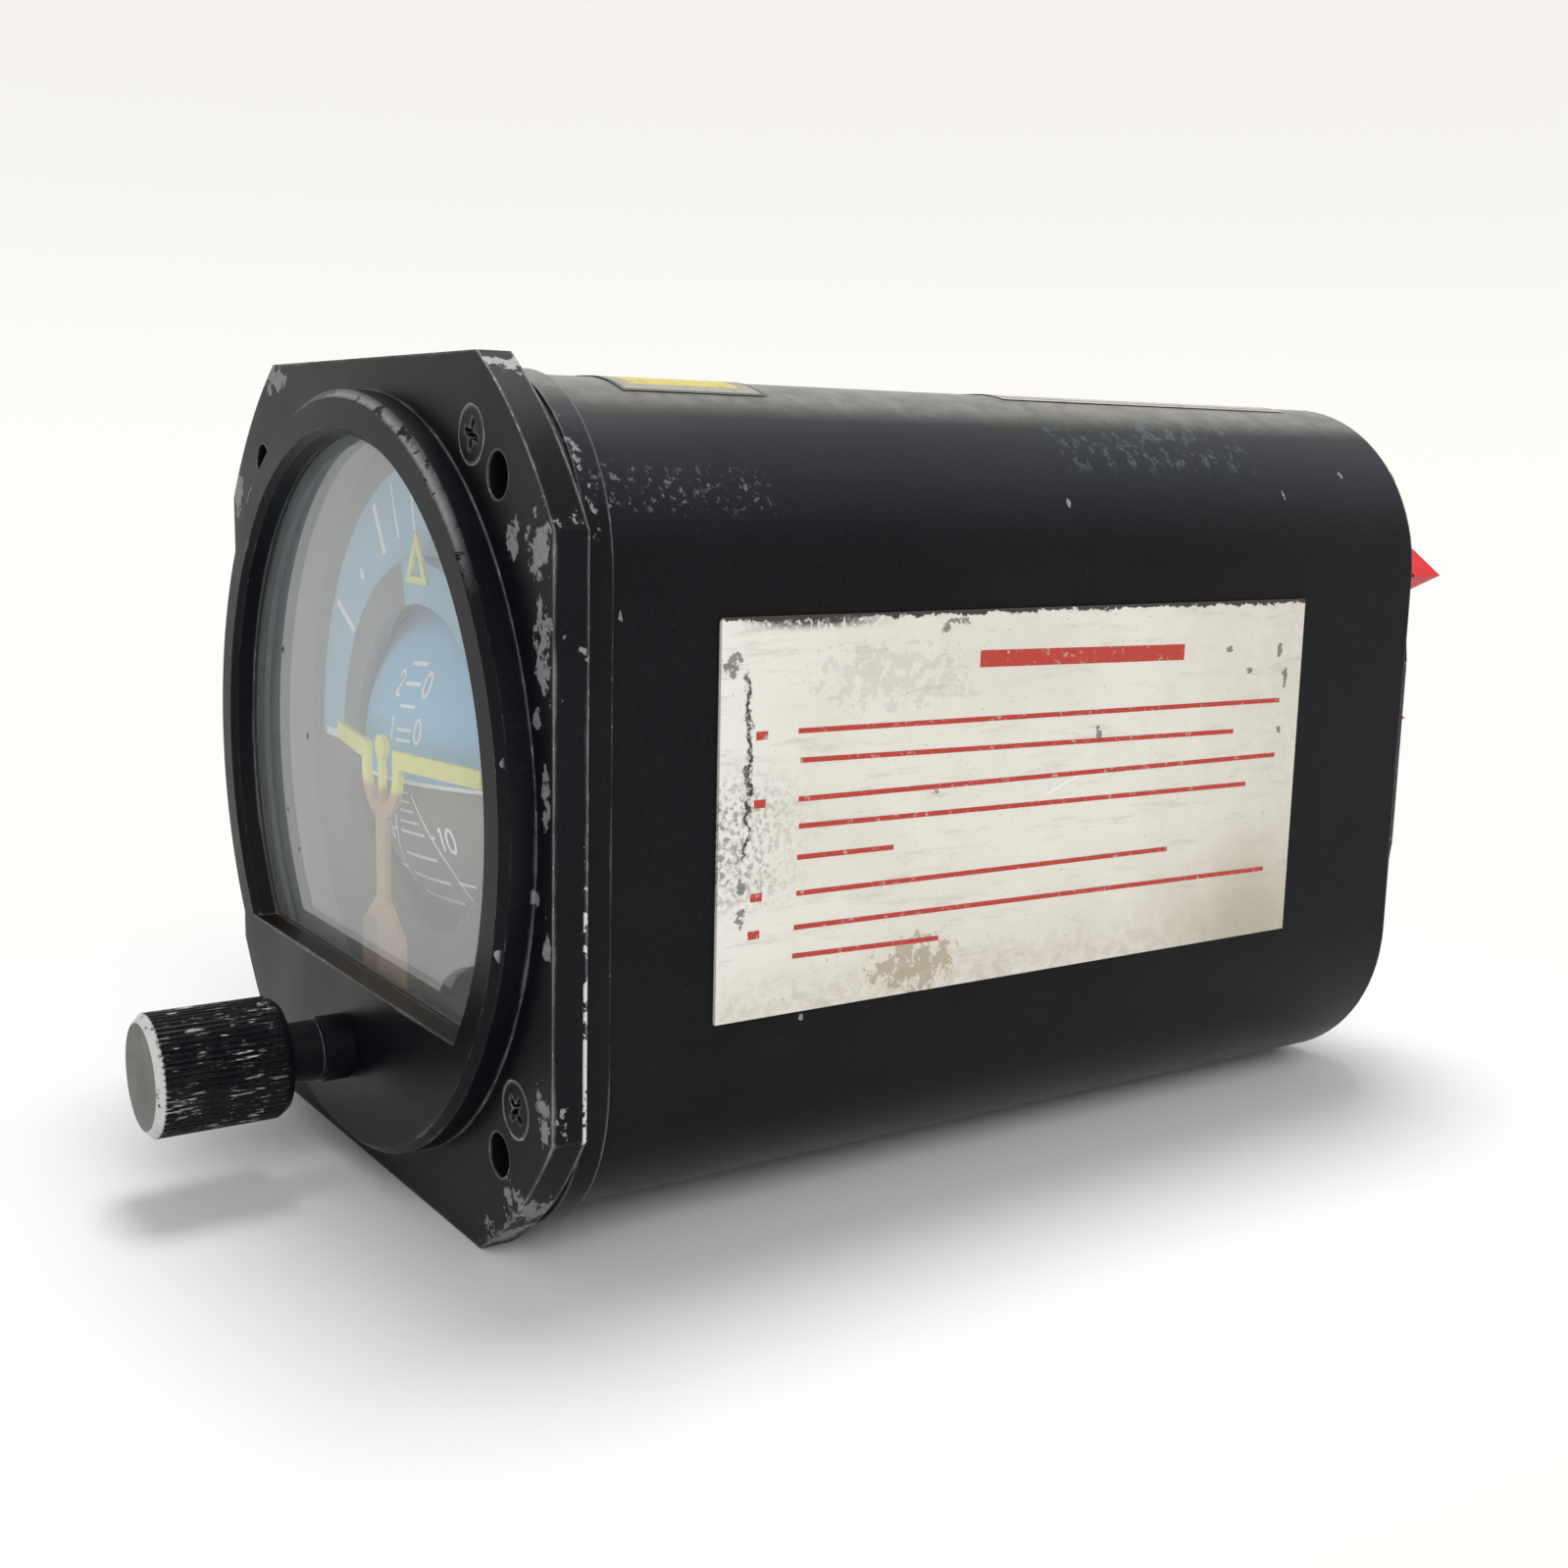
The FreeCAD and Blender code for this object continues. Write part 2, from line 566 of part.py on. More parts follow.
def make_window():
    node("window_gasket", cut(dee(GLASS_RADIUS, GLASS_CHORD, "-lip_depth", "gasket_thick"),
                              dee("window_radius + 0.05", "window_chord + 0.05", "-lip_depth", "gasket_thick")))
    node("window_glass", dee(GLASS_RADIUS, GLASS_CHORD, GLASS_FRONT, "glass_thick"))
    sheet_metal = dee(RETAINER_RADIUS, RETAINER_CHORD, GLASS_BACK, "retainer_thick")
    opening = dee(f"{GLASS_RADIUS} - retainer_lap", f"{GLASS_CHORD} - 0.6", GLASS_BACK, "retainer_thick")
    holes = rods("retainer_screw_shank", "retainer_thick", GLASS_BACK, retainer_screw_spots())
    node("glass_retainer", cut(sheet_metal, opening, *holes))
    screws = []
    for across, up in retainer_screw_spots():
        shank = cylinder("retainer_screw_shank", "retainer_screw_reach + retainer_thick",
                         (across, f"{GLASS_BACK} - retainer_screw_reach", up))
        head = cylinder("retainer_screw_head", "retainer_screw_head_height",
                        (across, f"{GLASS_BACK} + retainer_thick", up))
        screws += [shank, head]
    node("retainer_screws", fuse(*screws))


def cross_recess(at, turn, front="0"):
    """A cross cut into a screw head whose face is at front."""
    arms = fuse(slab("cross_reach", "-cross_half", "2 * cross_half", "0", "cross_depth"),
                slab("cross_half", "-cross_reach", "2 * cross_reach", "0", "cross_depth"))
    return placed(arms, (at[0], front, at[1]), Rotation(Vector(0, 1, 0), turn))


def make_bezel_screws():
    pieces = []
    head_height = "bezel_screw_head - bezel_screw_shank"
    for across, up in bezel_screw_spots():
        pieces.append(cone("bezel_screw_head", "bezel_screw_shank", head_height, (across, "0", up)))
        pieces.append(cylinder("bezel_screw_shank", f"bezel_screw_length - ({head_height})",
                               (across, head_height, up)))
    recesses = [cross_recess(at, turn) for at, turn in zip(bezel_screw_spots(), BEZEL_SCREW_TURNS)]
    node("bezel_screws", cut(fuse(*pieces), *recesses))


# --- case, rear cover and ports -------------------------------------------------------

CASE_FRONT = "flange_thick + gasket_thick"
COVER_FRONT = "case_back + gasket_thick"
COVER_BACK = "case_back + gasket_thick + cover_thick"
BOSS_BACK = "case_back + gasket_thick + cover_thick + port_boss_height"
FITTING_BACK = "case_back + gasket_thick + cover_thick + port_boss_height + port_hex_height"
PORTS = {"vacuum_outlet": ("outlet_across", "outlet_up"), "air_inlet": ("inlet_across", "inlet_up")}


def make_case():
    collar = rounded_bar("collar_half", "collar_corner", CASE_FRONT, "collar_length")
    barrel = rounded_bar("case_half", "case_corner", CASE_FRONT, f"case_back - ({CASE_FRONT})")
    tools = [cylinder("case_bore", f"case_back - ({CASE_FRONT})", ("0", CASE_FRONT, "0")),
             cylinder("card_bore", f"card_seat - ({CASE_FRONT})", ("0", CASE_FRONT, "0"))]
    tools += rods("mount_hole_radius", "mount_hole_depth", CASE_FRONT, square_pattern("mount_spacing / 2"))
    tools += rods("bezel_screw_shank", f"bezel_screw_length - ({CASE_FRONT})", CASE_FRONT, bezel_screw_spots())
    tools += rods("rear_screw_shank", "rear_screw_length", "case_back - rear_screw_length",
                  square_pattern("rear_screw_offset"))
    node("case_shell", cut(fuse(collar, barrel), *tools))


def make_gaskets():
    sheet_ring = rounded_bar("collar_half - 0.3", "collar_corner", "flange_thick", "gasket_thick")
    tools = [cylinder("card_bore + 0.3", "gasket_thick", ("0", "flange_thick", "0"))]
    tools += rods("mount_hole_radius", "gasket_thick", "flange_thick", square_pattern("mount_spacing / 2"))
    tools += rods("bezel_screw_shank", "gasket_thick", "flange_thick", bezel_screw_spots())
    node("bezel_gasket", cut(sheet_ring, *tools))
    rear_ring = rounded_bar("cover_half - cover_notch_depth", "cover_corner", "case_back", "gasket_thick")
    tools = [cylinder("case_bore", "gasket_thick", ("0", "case_back", "0"))]
    tools += rods("rear_screw_shank", "gasket_thick", "case_back", square_pattern("rear_screw_offset"))
    node("rear_gasket", cut(rear_ring, *tools))


def cover_notch(index):
    """One of the four shallow notches in the sides of the rear cover."""
    width = "2 * cover_notch_half"
    depth = "cover_notch_depth"
    if index % 2:
        low = "cover_half - cover_notch_depth" if index == 1 else "-cover_half"
        return box(("-cover_notch_half", COVER_FRONT, low), (width, "cover_thick", depth))
    low = "cover_half - cover_notch_depth" if index == 0 else "-cover_half"
    return box((low, COVER_FRONT, "-cover_notch_half"), (depth, "cover_thick", width))


def make_rear_cover():
    plate = rounded_bar("cover_half", "cover_corner", COVER_FRONT, "cover_thick")
    notches = [cover_notch(index) for index in range(4)]
    bosses = [cylinder("port_boss_radius", "cover_thick + port_boss_height", (across, COVER_FRONT, up))
              for across, up in PORTS.values()]
    holes = [cylinder("port_thread", "cover_thick + port_boss_height", (across, COVER_FRONT, up))
             for across, up in PORTS.values()]
    holes.append(cylinder("post_bore", "cover_thick / 2", ("0", COVER_FRONT, "0")))
    holes += rods("rear_screw_shank", "cover_thick", COVER_FRONT, square_pattern("rear_screw_offset"))
    node("rear_cover", cut(fuse(cut(plate, *notches), *bosses), *holes))
    screws = []
    for across, up in square_pattern("rear_screw_offset"):
        screws.append(cylinder("rear_screw_shank", f"{COVER_BACK} - case_back + rear_screw_length",
                               (across, "case_back - rear_screw_length", up)))
        screws.append(cylinder("rear_screw_head", "rear_screw_head_height", (across, COVER_BACK, up)))
    node("rear_cover_screws", fuse(*screws))


def make_ports():
    for name, (across, up) in PORTS.items():
        thread = cylinder("port_thread", "cover_thick + port_boss_height", (across, COVER_FRONT, up))
        hexagon = prism(6, "port_hex", "port_hex_height", (across, BOSS_BACK, up))
        bore = cylinder("port_bore", f"{FITTING_BACK} - ({COVER_FRONT})", (across, COVER_FRONT, up))
        node(name + "_fitting", cut(fuse(thread, hexagon), bore))
        spigot = cylinder("port_bore - running_clearance", "plug_spigot_length",
                          (across, f"{FITTING_BACK} - plug_spigot_length", up))
        flange = cylinder("plug_flange", "plug_flange_thick", (across, FITTING_BACK, up))
        head = prism(3, "plug_head", "plug_head_length", (across, f"{FITTING_BACK} + plug_flange_thick", up),
                     "plug_head_turn")
        node(name + "_plug", fuse(spigot, flange, head))


# --- trim knob ------------------------------------------------------------------------

def drop_to_knob_axis(item):
    bind(item, {"Placement.Base.z": "-knob_drop"})


def make_knob():
    body = new_body("trim_knob")
    drop_to_knob_axis(body)
    profile = new_sketch(body, "XY_Plane")
    back = "-knob_front + knob_length"
    outline(profile, [("0", "-knob_front + knob_cap_thick"),
                      ("knob_cap_radius", "-knob_front + knob_cap_thick"),
                      ("knob_cap_radius", "-knob_front"),
                      ("knob_radius - knob_front_bevel", "-knob_front"),
                      ("knob_radius", "-knob_front + knob_front_bevel"),
                      ("knob_radius", f"{back} - 1.6 * knob_rear_bevel"),
                      ("knob_radius - knob_rear_bevel", back),
                      ("shaft_radius", back),
                      ("shaft_radius", f"{back} - shaft_in_knob"),
                      ("0", f"{back} - shaft_in_knob")])
    revolve(body, profile, "Y_Axis")
    groove = new_sketch(body, "XZ_Plane", "knob_front")
    outline(groove, [("0", "knob_radius - knurl_depth"),
                     ("knurl_half_width * 1.3", "knob_radius + knurl_depth * 0.3"),
                     ("-knurl_half_width * 1.3", "knob_radius + knurl_depth * 0.3")])
    first = pocket(body, groove, "knob_length")
    polar_pattern(body, first, "Y_Axis", "knurl_count")


def make_knob_fittings():
    node("knob_cap", cylinder("knob_cap_radius", "knob_cap_thick", ("0", "-knob_front", "-knob_drop")))
    knob_back = "-knob_front + knob_length"
    shaft_start = f"{knob_back} - shaft_in_knob"
    stout = cylinder("shaft_radius", f"-bushing_front - 0.1 - ({shaft_start})", ("0", shaft_start, "-knob_drop"))
    journal = cylinder("journal_radius", "bushing_front + 0.1 + pinion_front",
                       ("0", "-bushing_front - 0.1", "-knob_drop"))
    tail = cylinder("pinion_seat", "pinion_length + clip_thick + 0.4", ("0", "pinion_front", "-knob_drop"))
    node("knob_shaft", fuse(stout, journal, tail))
    collar = cylinder("bushing_collar", "bushing_front - ring_height", ("0", "-bushing_front", "-knob_drop"))
    thread = cylinder("bushing_thread", f"ring_height + {NUT_FRONT} + nut_thick",
                      ("0", "-ring_height", "-knob_drop"))
    bore = cylinder("journal_radius + running_clearance", f"bushing_front + {NUT_FRONT} + nut_thick",
                    ("0", "-bushing_front", "-knob_drop"))
    node("knob_bushing", cut(fuse(collar, thread), bore))
    nut_at = ("0", NUT_FRONT, "-knob_drop")
    node("bushing_nut", cut(prism(6, "nut_radius", "nut_thick", nut_at),
                            cylinder("bushing_thread", "nut_thick", nut_at)))
    clip_front = "pinion_front + pinion_length"
    node("pinion_clip", tube("clip_radius", "pinion_seat", "clip_thick", ("0", clip_front, "-knob_drop")))


def make_pinion():
    body = new_body("trim_pinion")
    drop_to_knob_axis(body)
    disc = new_sketch(body, "XZ_Plane", "-pinion_front")
    circle(disc, "0", "0", "pitch_radius - dedendum")
    circle(disc, "0", "0", "pinion_seat")
    pad(body, disc, "pinion_length")
    tooth = new_sketch(body, "XZ_Plane", "-pinion_front")
    outline(tooth, [("pitch_radius - dedendum - 0.2", "-tooth_half_root"),
                    ("pitch_radius", "-tooth_half_pitch"),
                    ("pitch_radius + addendum", "-tooth_half_tip"),
                    ("pitch_radius + addendum", "tooth_half_tip"),
                    ("pitch_radius", "tooth_half_pitch"),
                    ("pitch_radius - dedendum - 0.2", "tooth_half_root")])
    first = pad(body, tooth, "pinion_length")
    polar_pattern(body, first, "Y_Axis", "tooth_count")


# --- aeroplane symbol and its slider --------------------------------------------------

def quarter_turn(radius, angles):
    """Points on the fork's curve, by degrees below the horizontal."""
    return [(f"({radius}) * cos({angle}deg)", f"fork_up - ({radius}) * sin({angle}deg)") for angle in angles]


def make_symbol():
    body = new_body("airplane_symbol")
    plate = new_sketch(body, "XZ_Plane", "-symbol_front")
    foot = "-(window_chord + tab_below_sill)"
    notch_half = "journal_radius + notch_play"
    notch_top = "-knob_drop + journal_radius + slide_travel + notch_play"
    inside = "fork_radius - fork_band"
    right_side = [(notch_half, notch_top),
                  (notch_half, foot),
                  ("foot_half", foot),
                  ("foot_half", "-foot_low"),
                  ("post_half", "-post_low")]
    right_side += quarter_turn("fork_radius", range(75, -1, -15))
    right_side += [("fork_radius", "wing_low"),
                   ("wing_tip", "wing_low"),
                   ("wing_tip", "wing_low + wing_chord"),
                   (inside, "wing_low + wing_chord")]
    right_side += quarter_turn(inside, range(0, 81, 20))
    right_side += [("stem_half", "fork_up - fork_radius + fork_band"),
                   ("stem_half", "centre_dot_up")]
    left_side = [(f"-({across})", up) for across, up in reversed(right_side)]
    outline(plate, right_side + left_side)
    pad(body, plate, "symbol_thick")
    dot = new_sketch(body, "XZ_Plane", "-symbol_front")
    circle(dot, "0", "centre_dot_up", "centre_dot")
    pad(body, dot, "symbol_thick")


def rack_tooth_heights():
    """Rack teeth that stand in the pinion's tooth spaces at rest."""
    pitch = "(2 * 180 / tooth_count * 1deg / 1rad * pitch_radius)"
    return [f"{step + 0.5} * {pitch}" for step in range(-4, 4)]


def make_slider():
    body = new_body("symbol_slider")
    drop_to_knob_axis(body)
    plate = new_sketch(body, "XZ_Plane", "-pinion_front")
    low = "-slider_bottom"
    shoulder = "slider_shoulder"
    top = "slider_top"
    slot_top = "slot_top"
    rack_root = "pitch_radius + dedendum"
    outline(plate, [("-slider_half", low), ("-slot_half", low), ("-slot_half", slot_top),
                    (rack_root, slot_top), (rack_root, low), ("slider_half", low),
                    ("slider_half", shoulder), ("slider_neck_half", shoulder), ("slider_neck_half", top),
                    ("-slider_neck_half", top), ("-slider_neck_half", shoulder), ("-slider_half", shoulder)])
    pad(body, plate, "pinion_length")
    for height in rack_tooth_heights():
        tooth = new_sketch(body, "XZ_Plane", "-pinion_front")
        outline(tooth, [("pitch_radius + dedendum + 0.1", f"{height} - tooth_half_root"),
                        ("pitch_radius + dedendum + 0.1", f"{height} + tooth_half_root"),
                        ("pitch_radius", f"{height} + tooth_half_pitch"),
                        ("pitch_radius - addendum", f"{height} + tooth_half_tip"),
                        ("pitch_radius - addendum", f"{height} - tooth_half_tip"),
                        ("pitch_radius", f"{height} - tooth_half_pitch")])
        pad(body, tooth, "pinion_length")
    boss = new_sketch(body, "XZ_Plane", "-(symbol_front + symbol_thick)")
    outline(boss, [("-slider_neck_half", f"{slot_top} + 0.1"), ("slider_neck_half", f"{slot_top} + 0.1"),
                   ("slider_neck_half", top), ("-slider_neck_half", top)])
    pad(body, boss, "pinion_front - symbol_front - symbol_thick")


def make_guides():
    pieces = []
    for side in (-1, 1):
        inner = "slider_half + running_clearance"
        rail_low = f"-({inner} + guide_width)" if side < 0 else inner
        lip_low = f"-({inner} + guide_width)" if side < 0 else f"{inner} - guide_lip"
        height = "guide_bottom + guide_top"
        bottom = "-(knob_drop + guide_bottom)"
        lip_front = "pinion_front + pinion_length + running_clearance"
        rail = box((rail_low, "flange_thick", bottom),
                   ("guide_width", f"{lip_front} - flange_thick", height))
        lip = box((lip_low, lip_front, bottom),
                  ("guide_width + guide_lip", "guide_lip_thick", height))
        pieces += [rail, lip]
    screws = []
    holes = []
    head_front = "pinion_front + pinion_length + running_clearance + guide_lip_thick"
    for across in ("-", ""):
        for up in GUIDE_SCREW_DROPS:
            side = f"{across}{GUIDE_SCREW_ACROSS}"
            holes.append(cylinder("guide_screw_shank", f"{head_front} - flange_thick",
                                  (side, "flange_thick", f"-({up})")))
            screws.append(cylinder("guide_screw_shank", f"{head_front} - flange_thick + guide_screw_reach",
                                   (side, "flange_thick - guide_screw_reach", f"-({up})")))
            screws.append(cylinder("guide_screw_head", "guide_screw_head_height",
                                   (side, head_front, f"-({up})")))
    node("slider_guides", cut(fuse(*pieces), *holes))
    node("guide_screws", fuse(*screws))


# --- scale card -----------------------------------------------------------------------

def make_card():
    card_front = "card_seat - card_thick"
    node("bank_scale_card", tube("card_bore - seat_clearance", "card_hole", "card_thick",
                                 ("0", card_front, "0")))
    ring = tube("card_bore - seat_clearance", "card_bore - seat_clearance - spacer_width",
                f"{card_front} - spacer_front", ("0", "spacer_front", "0"))
    gap = slab("spacer_gap_half", "-card_bore", "card_bore", "spacer_front", f"{card_front} - spacer_front")
    node("card_spacer", cut(ring, gap))


# --- gimbal ---------------------------------------------------------------------------

def make_gimbal_post():
    flange_front = f"{COVER_FRONT} - post_flange_thick"
    stem = cylinder("post_radius", f"{flange_front} - post_front", ("0", "post_front", "0"))
    flange = cylinder("post_flange", "post_flange_thick", ("0", flange_front, "0"))
    passage = cylinder("post_bore", f"{COVER_FRONT} - post_front", ("0", "post_front", "0"))
    node("gimbal_post", cut(fuse(stem, flange), passage))


def bearing_fronts():
    return ("bearing_front", "bearing_front + bearing_pitch")


def make_gimbal_bearings():
    inner = [tube("post_radius + race_wall", "post_radius", "bearing_width", ("0", front, "0"))
             for front in bearing_fronts()]
    node("gimbal_bearing_inner_races", fuse(*inner))
    outer = []
    for front in bearing_fronts():
        ring = tube("bearing_radius", "post_radius + race_wall + running_clearance", "bearing_width",
                    ("0", front, "0"))
        track = cylinder("bearing_radius - race_wall", "bearing_width - 2 * shield_thick",
                         ("0", f"{front} + shield_thick", "0"))
        outer.append(cut(ring, track))
    node("gimbal_bearing_outer_races", fuse(*outer))


def make_roll_frame():
    reach = "arm_inside + arm_thick"
    yoke = fuse(slab(reach, "-yoke_half_height", "2 * yoke_half_height", "hub_front", "yoke_thick"),
                cylinder("yoke_disc", "yoke_thick", ("0", "hub_front", "0")))
    hub = cylinder("hub_radius", "hub_back - hub_front", ("0", "hub_front", "0"))
    ring_back = "front_ring_front + front_ring_thick"
    arms = [box((low, ring_back, "-arm_half_height"),
                ("arm_thick", f"hub_front - ({ring_back})", "2 * arm_half_height"))
            for low in ("arm_inside", "-(arm_inside + arm_thick)")]
    ring = cylinder("front_ring_outside", "front_ring_thick", ("0", "front_ring_front", "0"))
    tools = [cone("front_ring_inside", "front_ring_inside + front_ring_flare", "front_ring_thick",
                  ("0", "front_ring_front", "0")),
             cylinder("post_radius + 0.4", "yoke_thick", ("0", "hub_front", "0")),
             cylinder("bearing_radius", "hub_back - hub_front - yoke_thick",
                      ("0", "hub_front + yoke_thick", "0"))]
    for centre in ("ball_centre", "housing_centre"):
        for low in ("arm_inside", "-(arm_inside + arm_thick)"):
            tools.append(cylinder("bush_radius", "arm_thick", (low, centre, "0"), "X"))
    node("roll_frame", cut(fuse(yoke, hub, ring, *arms), *tools))


def make_pivot_bushes():
    bushes = []
    for centre in ("ball_centre", "housing_centre"):
        for low in ("arm_inside", "-(arm_inside + arm_thick)"):
            bushes.append(tube("bush_radius", "spindle_radius + running_clearance", "arm_thick",
                               (low, centre, "0"), "X"))
    node("pivot_bushes", fuse(*bushes))


def make_pointer_ring():
    skirt_front = "pointer_front + pointer_thick"
    plate = tube("pointer_outside", "pointer_inside", "pointer_thick", ("0", "pointer_front", "0"))
    skirt = tube("pointer_outside", "pointer_skirt", f"front_ring_front - ({skirt_front})",
                 ("0", skirt_front, "0"))
    node("pointer_ring", fuse(plate, skirt))
    body = new_body("sky_pointer")
    plate = new_sketch(body, "XZ_Plane", "-(pointer_front - sky_pointer_thick)")
    outline(plate, [("-sky_pointer_half", "sky_pointer_low"), ("sky_pointer_half", "sky_pointer_low"),
                    ("0", "sky_pointer_high")])
    outline(plate, [("-(sky_pointer_half - 1.9 * sky_pointer_band)", "sky_pointer_low + sky_pointer_band"),
                    ("sky_pointer_half - 1.9 * sky_pointer_band", "sky_pointer_low + sky_pointer_band"),
                    ("0", "sky_pointer_high - 2.3 * sky_pointer_band")])
    pad(body, plate, "sky_pointer_thick")


# --- horizon ball ---------------------------------------------------------------------

def ball(inset):
    item = doc.addObject("Part::Ellipsoid", "Ellipsoid")
    item.Radius3 = 0
    bind(item, {"Radius1": f"ball_across - {inset}", "Radius2": f"ball_radius - {inset}"})
    return placed(item, ("0", "ball_centre", "0"), TURN["X"])


def ball_slice(inset):
    half = f"(ball_half - {inset})"
    radius = "ball_radius"
    width = f"2 * ({half})"
    limits = box((f"-({half})", f"ball_centre - 2 * ({radius})", f"-2 * ({radius})"),
                 (width, f"4 * ({radius})", f"4 * ({radius})"))
    return common(ball(inset), limits)


def mirrored_rods(radius, low, high, up_and_back):
    """Two rods along X, one at each side of the centre line."""
    back, up = up_and_back
    return [cylinder(radius, f"({high}) - ({low})", (start, back, up), "X")
            for start in (low, f"-({high})")]


def make_ball():
    shell = cut(ball_slice("0"), ball_slice("ball_wall"))
    opening = doc.addObject("Part::Cylinder", "Opening")
    bind(opening, {"Radius": "2 * ball_radius", "Height": "2 * ball_radius", "Angle": "360 - ball_sweep"})
    half_gap = 180 - number("ball_sweep") / 2
    placed(opening, ("-ball_radius", "ball_centre", "0"),
           Rotation(Vector(1, 0, 0), -half_gap) * Rotation(Vector(1, 0, 0), 90) * TURN["X"])
    hubs = mirrored_rods("ball_hub", "ball_half - ball_hub_depth", "ball_half", ("ball_centre", "0"))
    bores = mirrored_rods("spindle_radius", "ball_half - ball_hub_depth", "ball_half", ("ball_centre", "0"))
    node("horizon_ball", cut(fuse(cut(shell, opening), *hubs), *bores))
    spindles = mirrored_rods("spindle_radius", "ball_half - ball_hub_depth", "spindle_end",
                             ("ball_centre", "0"))
    node("ball_spindles", fuse(*spindles))


# --- cranks and pitch link ------------------------------------------------------------

def make_crank(label, centre):
    waist = "crank_eye - 0.4"
    arm = box(("crank_inside", f"{centre} - ({waist})", "0"), ("crank_thick", f"2 * ({waist})", "crank_radius"))
    hub = cylinder("crank_hub", "crank_thick", ("crank_inside", centre, "0"), "X")
    eye = cylinder("crank_eye", "crank_thick", ("crank_inside", centre, "crank_radius"), "X")
    pin = cylinder("crank_pin", "crank_pin_end - crank_inside", ("crank_inside", centre, "crank_radius"), "X")
    bore = cylinder("spindle_radius", "crank_thick", ("crank_inside", centre, "0"), "X")
    node(label, cut(fuse(arm, hub, eye, pin), bore))


def make_link():
    centres = ("ball_centre", "housing_centre")
    eyes = [cylinder("link_half", "link_thick", ("link_inside", centre, "crank_radius"), "X")
            for centre in centres]
    bar = box(("link_inside", "ball_centre", "crank_radius - link_waist_half"),
              ("link_thick", "housing_centre - ball_centre", "2 * link_waist_half"))
    holes = [cylinder(f"crank_pin + {play}", "link_thick", ("link_inside", centre, "crank_radius"), "X")
             for centre, play in zip(centres, ("link_end_clearance", "running_clearance"))]
    node("pitch_link", cut(fuse(bar, *eyes), *holes))


# --- rotor housing --------------------------------------------------------------------

def upright(radius, length, low):
    """A cylinder about the rotor's axis."""
    return cylinder(radius, length, ("0", "housing_centre", low), "Z")


def make_housing():
    can = upright("can_radius", "2 * can_half - can_floor", "-can_half")
    hollow = upright("can_radius - can_wall", "2 * can_half - 2 * can_floor", "-can_half + can_floor")
    boss = cut(upright("bearing_boss", "rotor_bearing_width", "-can_half + can_floor"),
               upright("rotor_bearing_radius", "rotor_bearing_width", "-can_half + can_floor"))
    vane_bolt = upright("spindle_radius", "can_floor", "-can_half")
    node("rotor_housing", cut(fuse(cut(can, hollow), boss), vane_bolt))
    disc = upright("can_radius", "can_floor", "can_half - can_floor")
    ring_low = "can_half - can_floor - rotor_bearing_width"
    ring = cut(upright("bearing_boss", "rotor_bearing_width", ring_low),
               upright("rotor_bearing_radius", "rotor_bearing_width", ring_low))
    node("housing_cover", fuse(disc, ring))
    bearings = []
    for low in ("-can_half + can_floor", ring_low):
        bearings.append(cut(upright("rotor_bearing_radius", "rotor_bearing_width", low),
                            upright("spindle_radius + running_clearance", "rotor_bearing_width", low)))
    node("rotor_bearings", fuse(*bearings))
    bosses = mirrored_rods("trunnion_boss", "can_radius - can_wall - 1", "trunnion_boss_end",
                           ("housing_centre", "0"))
    outside = upright("can_radius", "2 * trunnion_boss", "-trunnion_boss")
    spindles = mirrored_rods("spindle_radius", "trunnion_boss_end", "spindle_end", ("housing_centre", "0"))
    node("pitch_trunnions", fuse(cut(fuse(*bosses), outside), *spindles))


def make_rotor():
    body = new_body("rotor_wheel")
    bind(body, {"Placement.Base.y": "housing_centre"})
    profile = new_sketch(body, "XZ_Plane")
    outline(profile, [("spindle_radius", "-rim_half"), ("rotor_hub", "-rim_half"),
                      ("rotor_hub", "-web_half"), ("rim_inside", "-web_half"),
                      ("rim_inside", "-rim_half"), ("rotor_radius", "-rim_half"),
                      ("rotor_radius", "rim_half"), ("rim_inside", "rim_half"),
                      ("rim_inside", "web_half"), ("rotor_hub", "web_half"),
                      ("rotor_hub", "rim_half"), ("spindle_radius", "rim_half")])
    revolve(body, profile, "Z_Axis")
    bucket = new_sketch(body, "XY_Plane", "-bucket_half_height")
    outline(bucket, [("rotor_radius - bucket_depth", "0"), ("rotor_radius + 0.2", "0"),
                     ("rotor_radius + 0.2", "bucket_width")])
    first = pocket(body, bucket, "2 * bucket_half_height", True)
    polar_pattern(body, first, "Z_Axis", "bucket_count")
    node("rotor_shaft", upright("spindle_radius", "2 * (can_half - can_floor) - 0.2", "-can_half + can_floor + 0.1"))


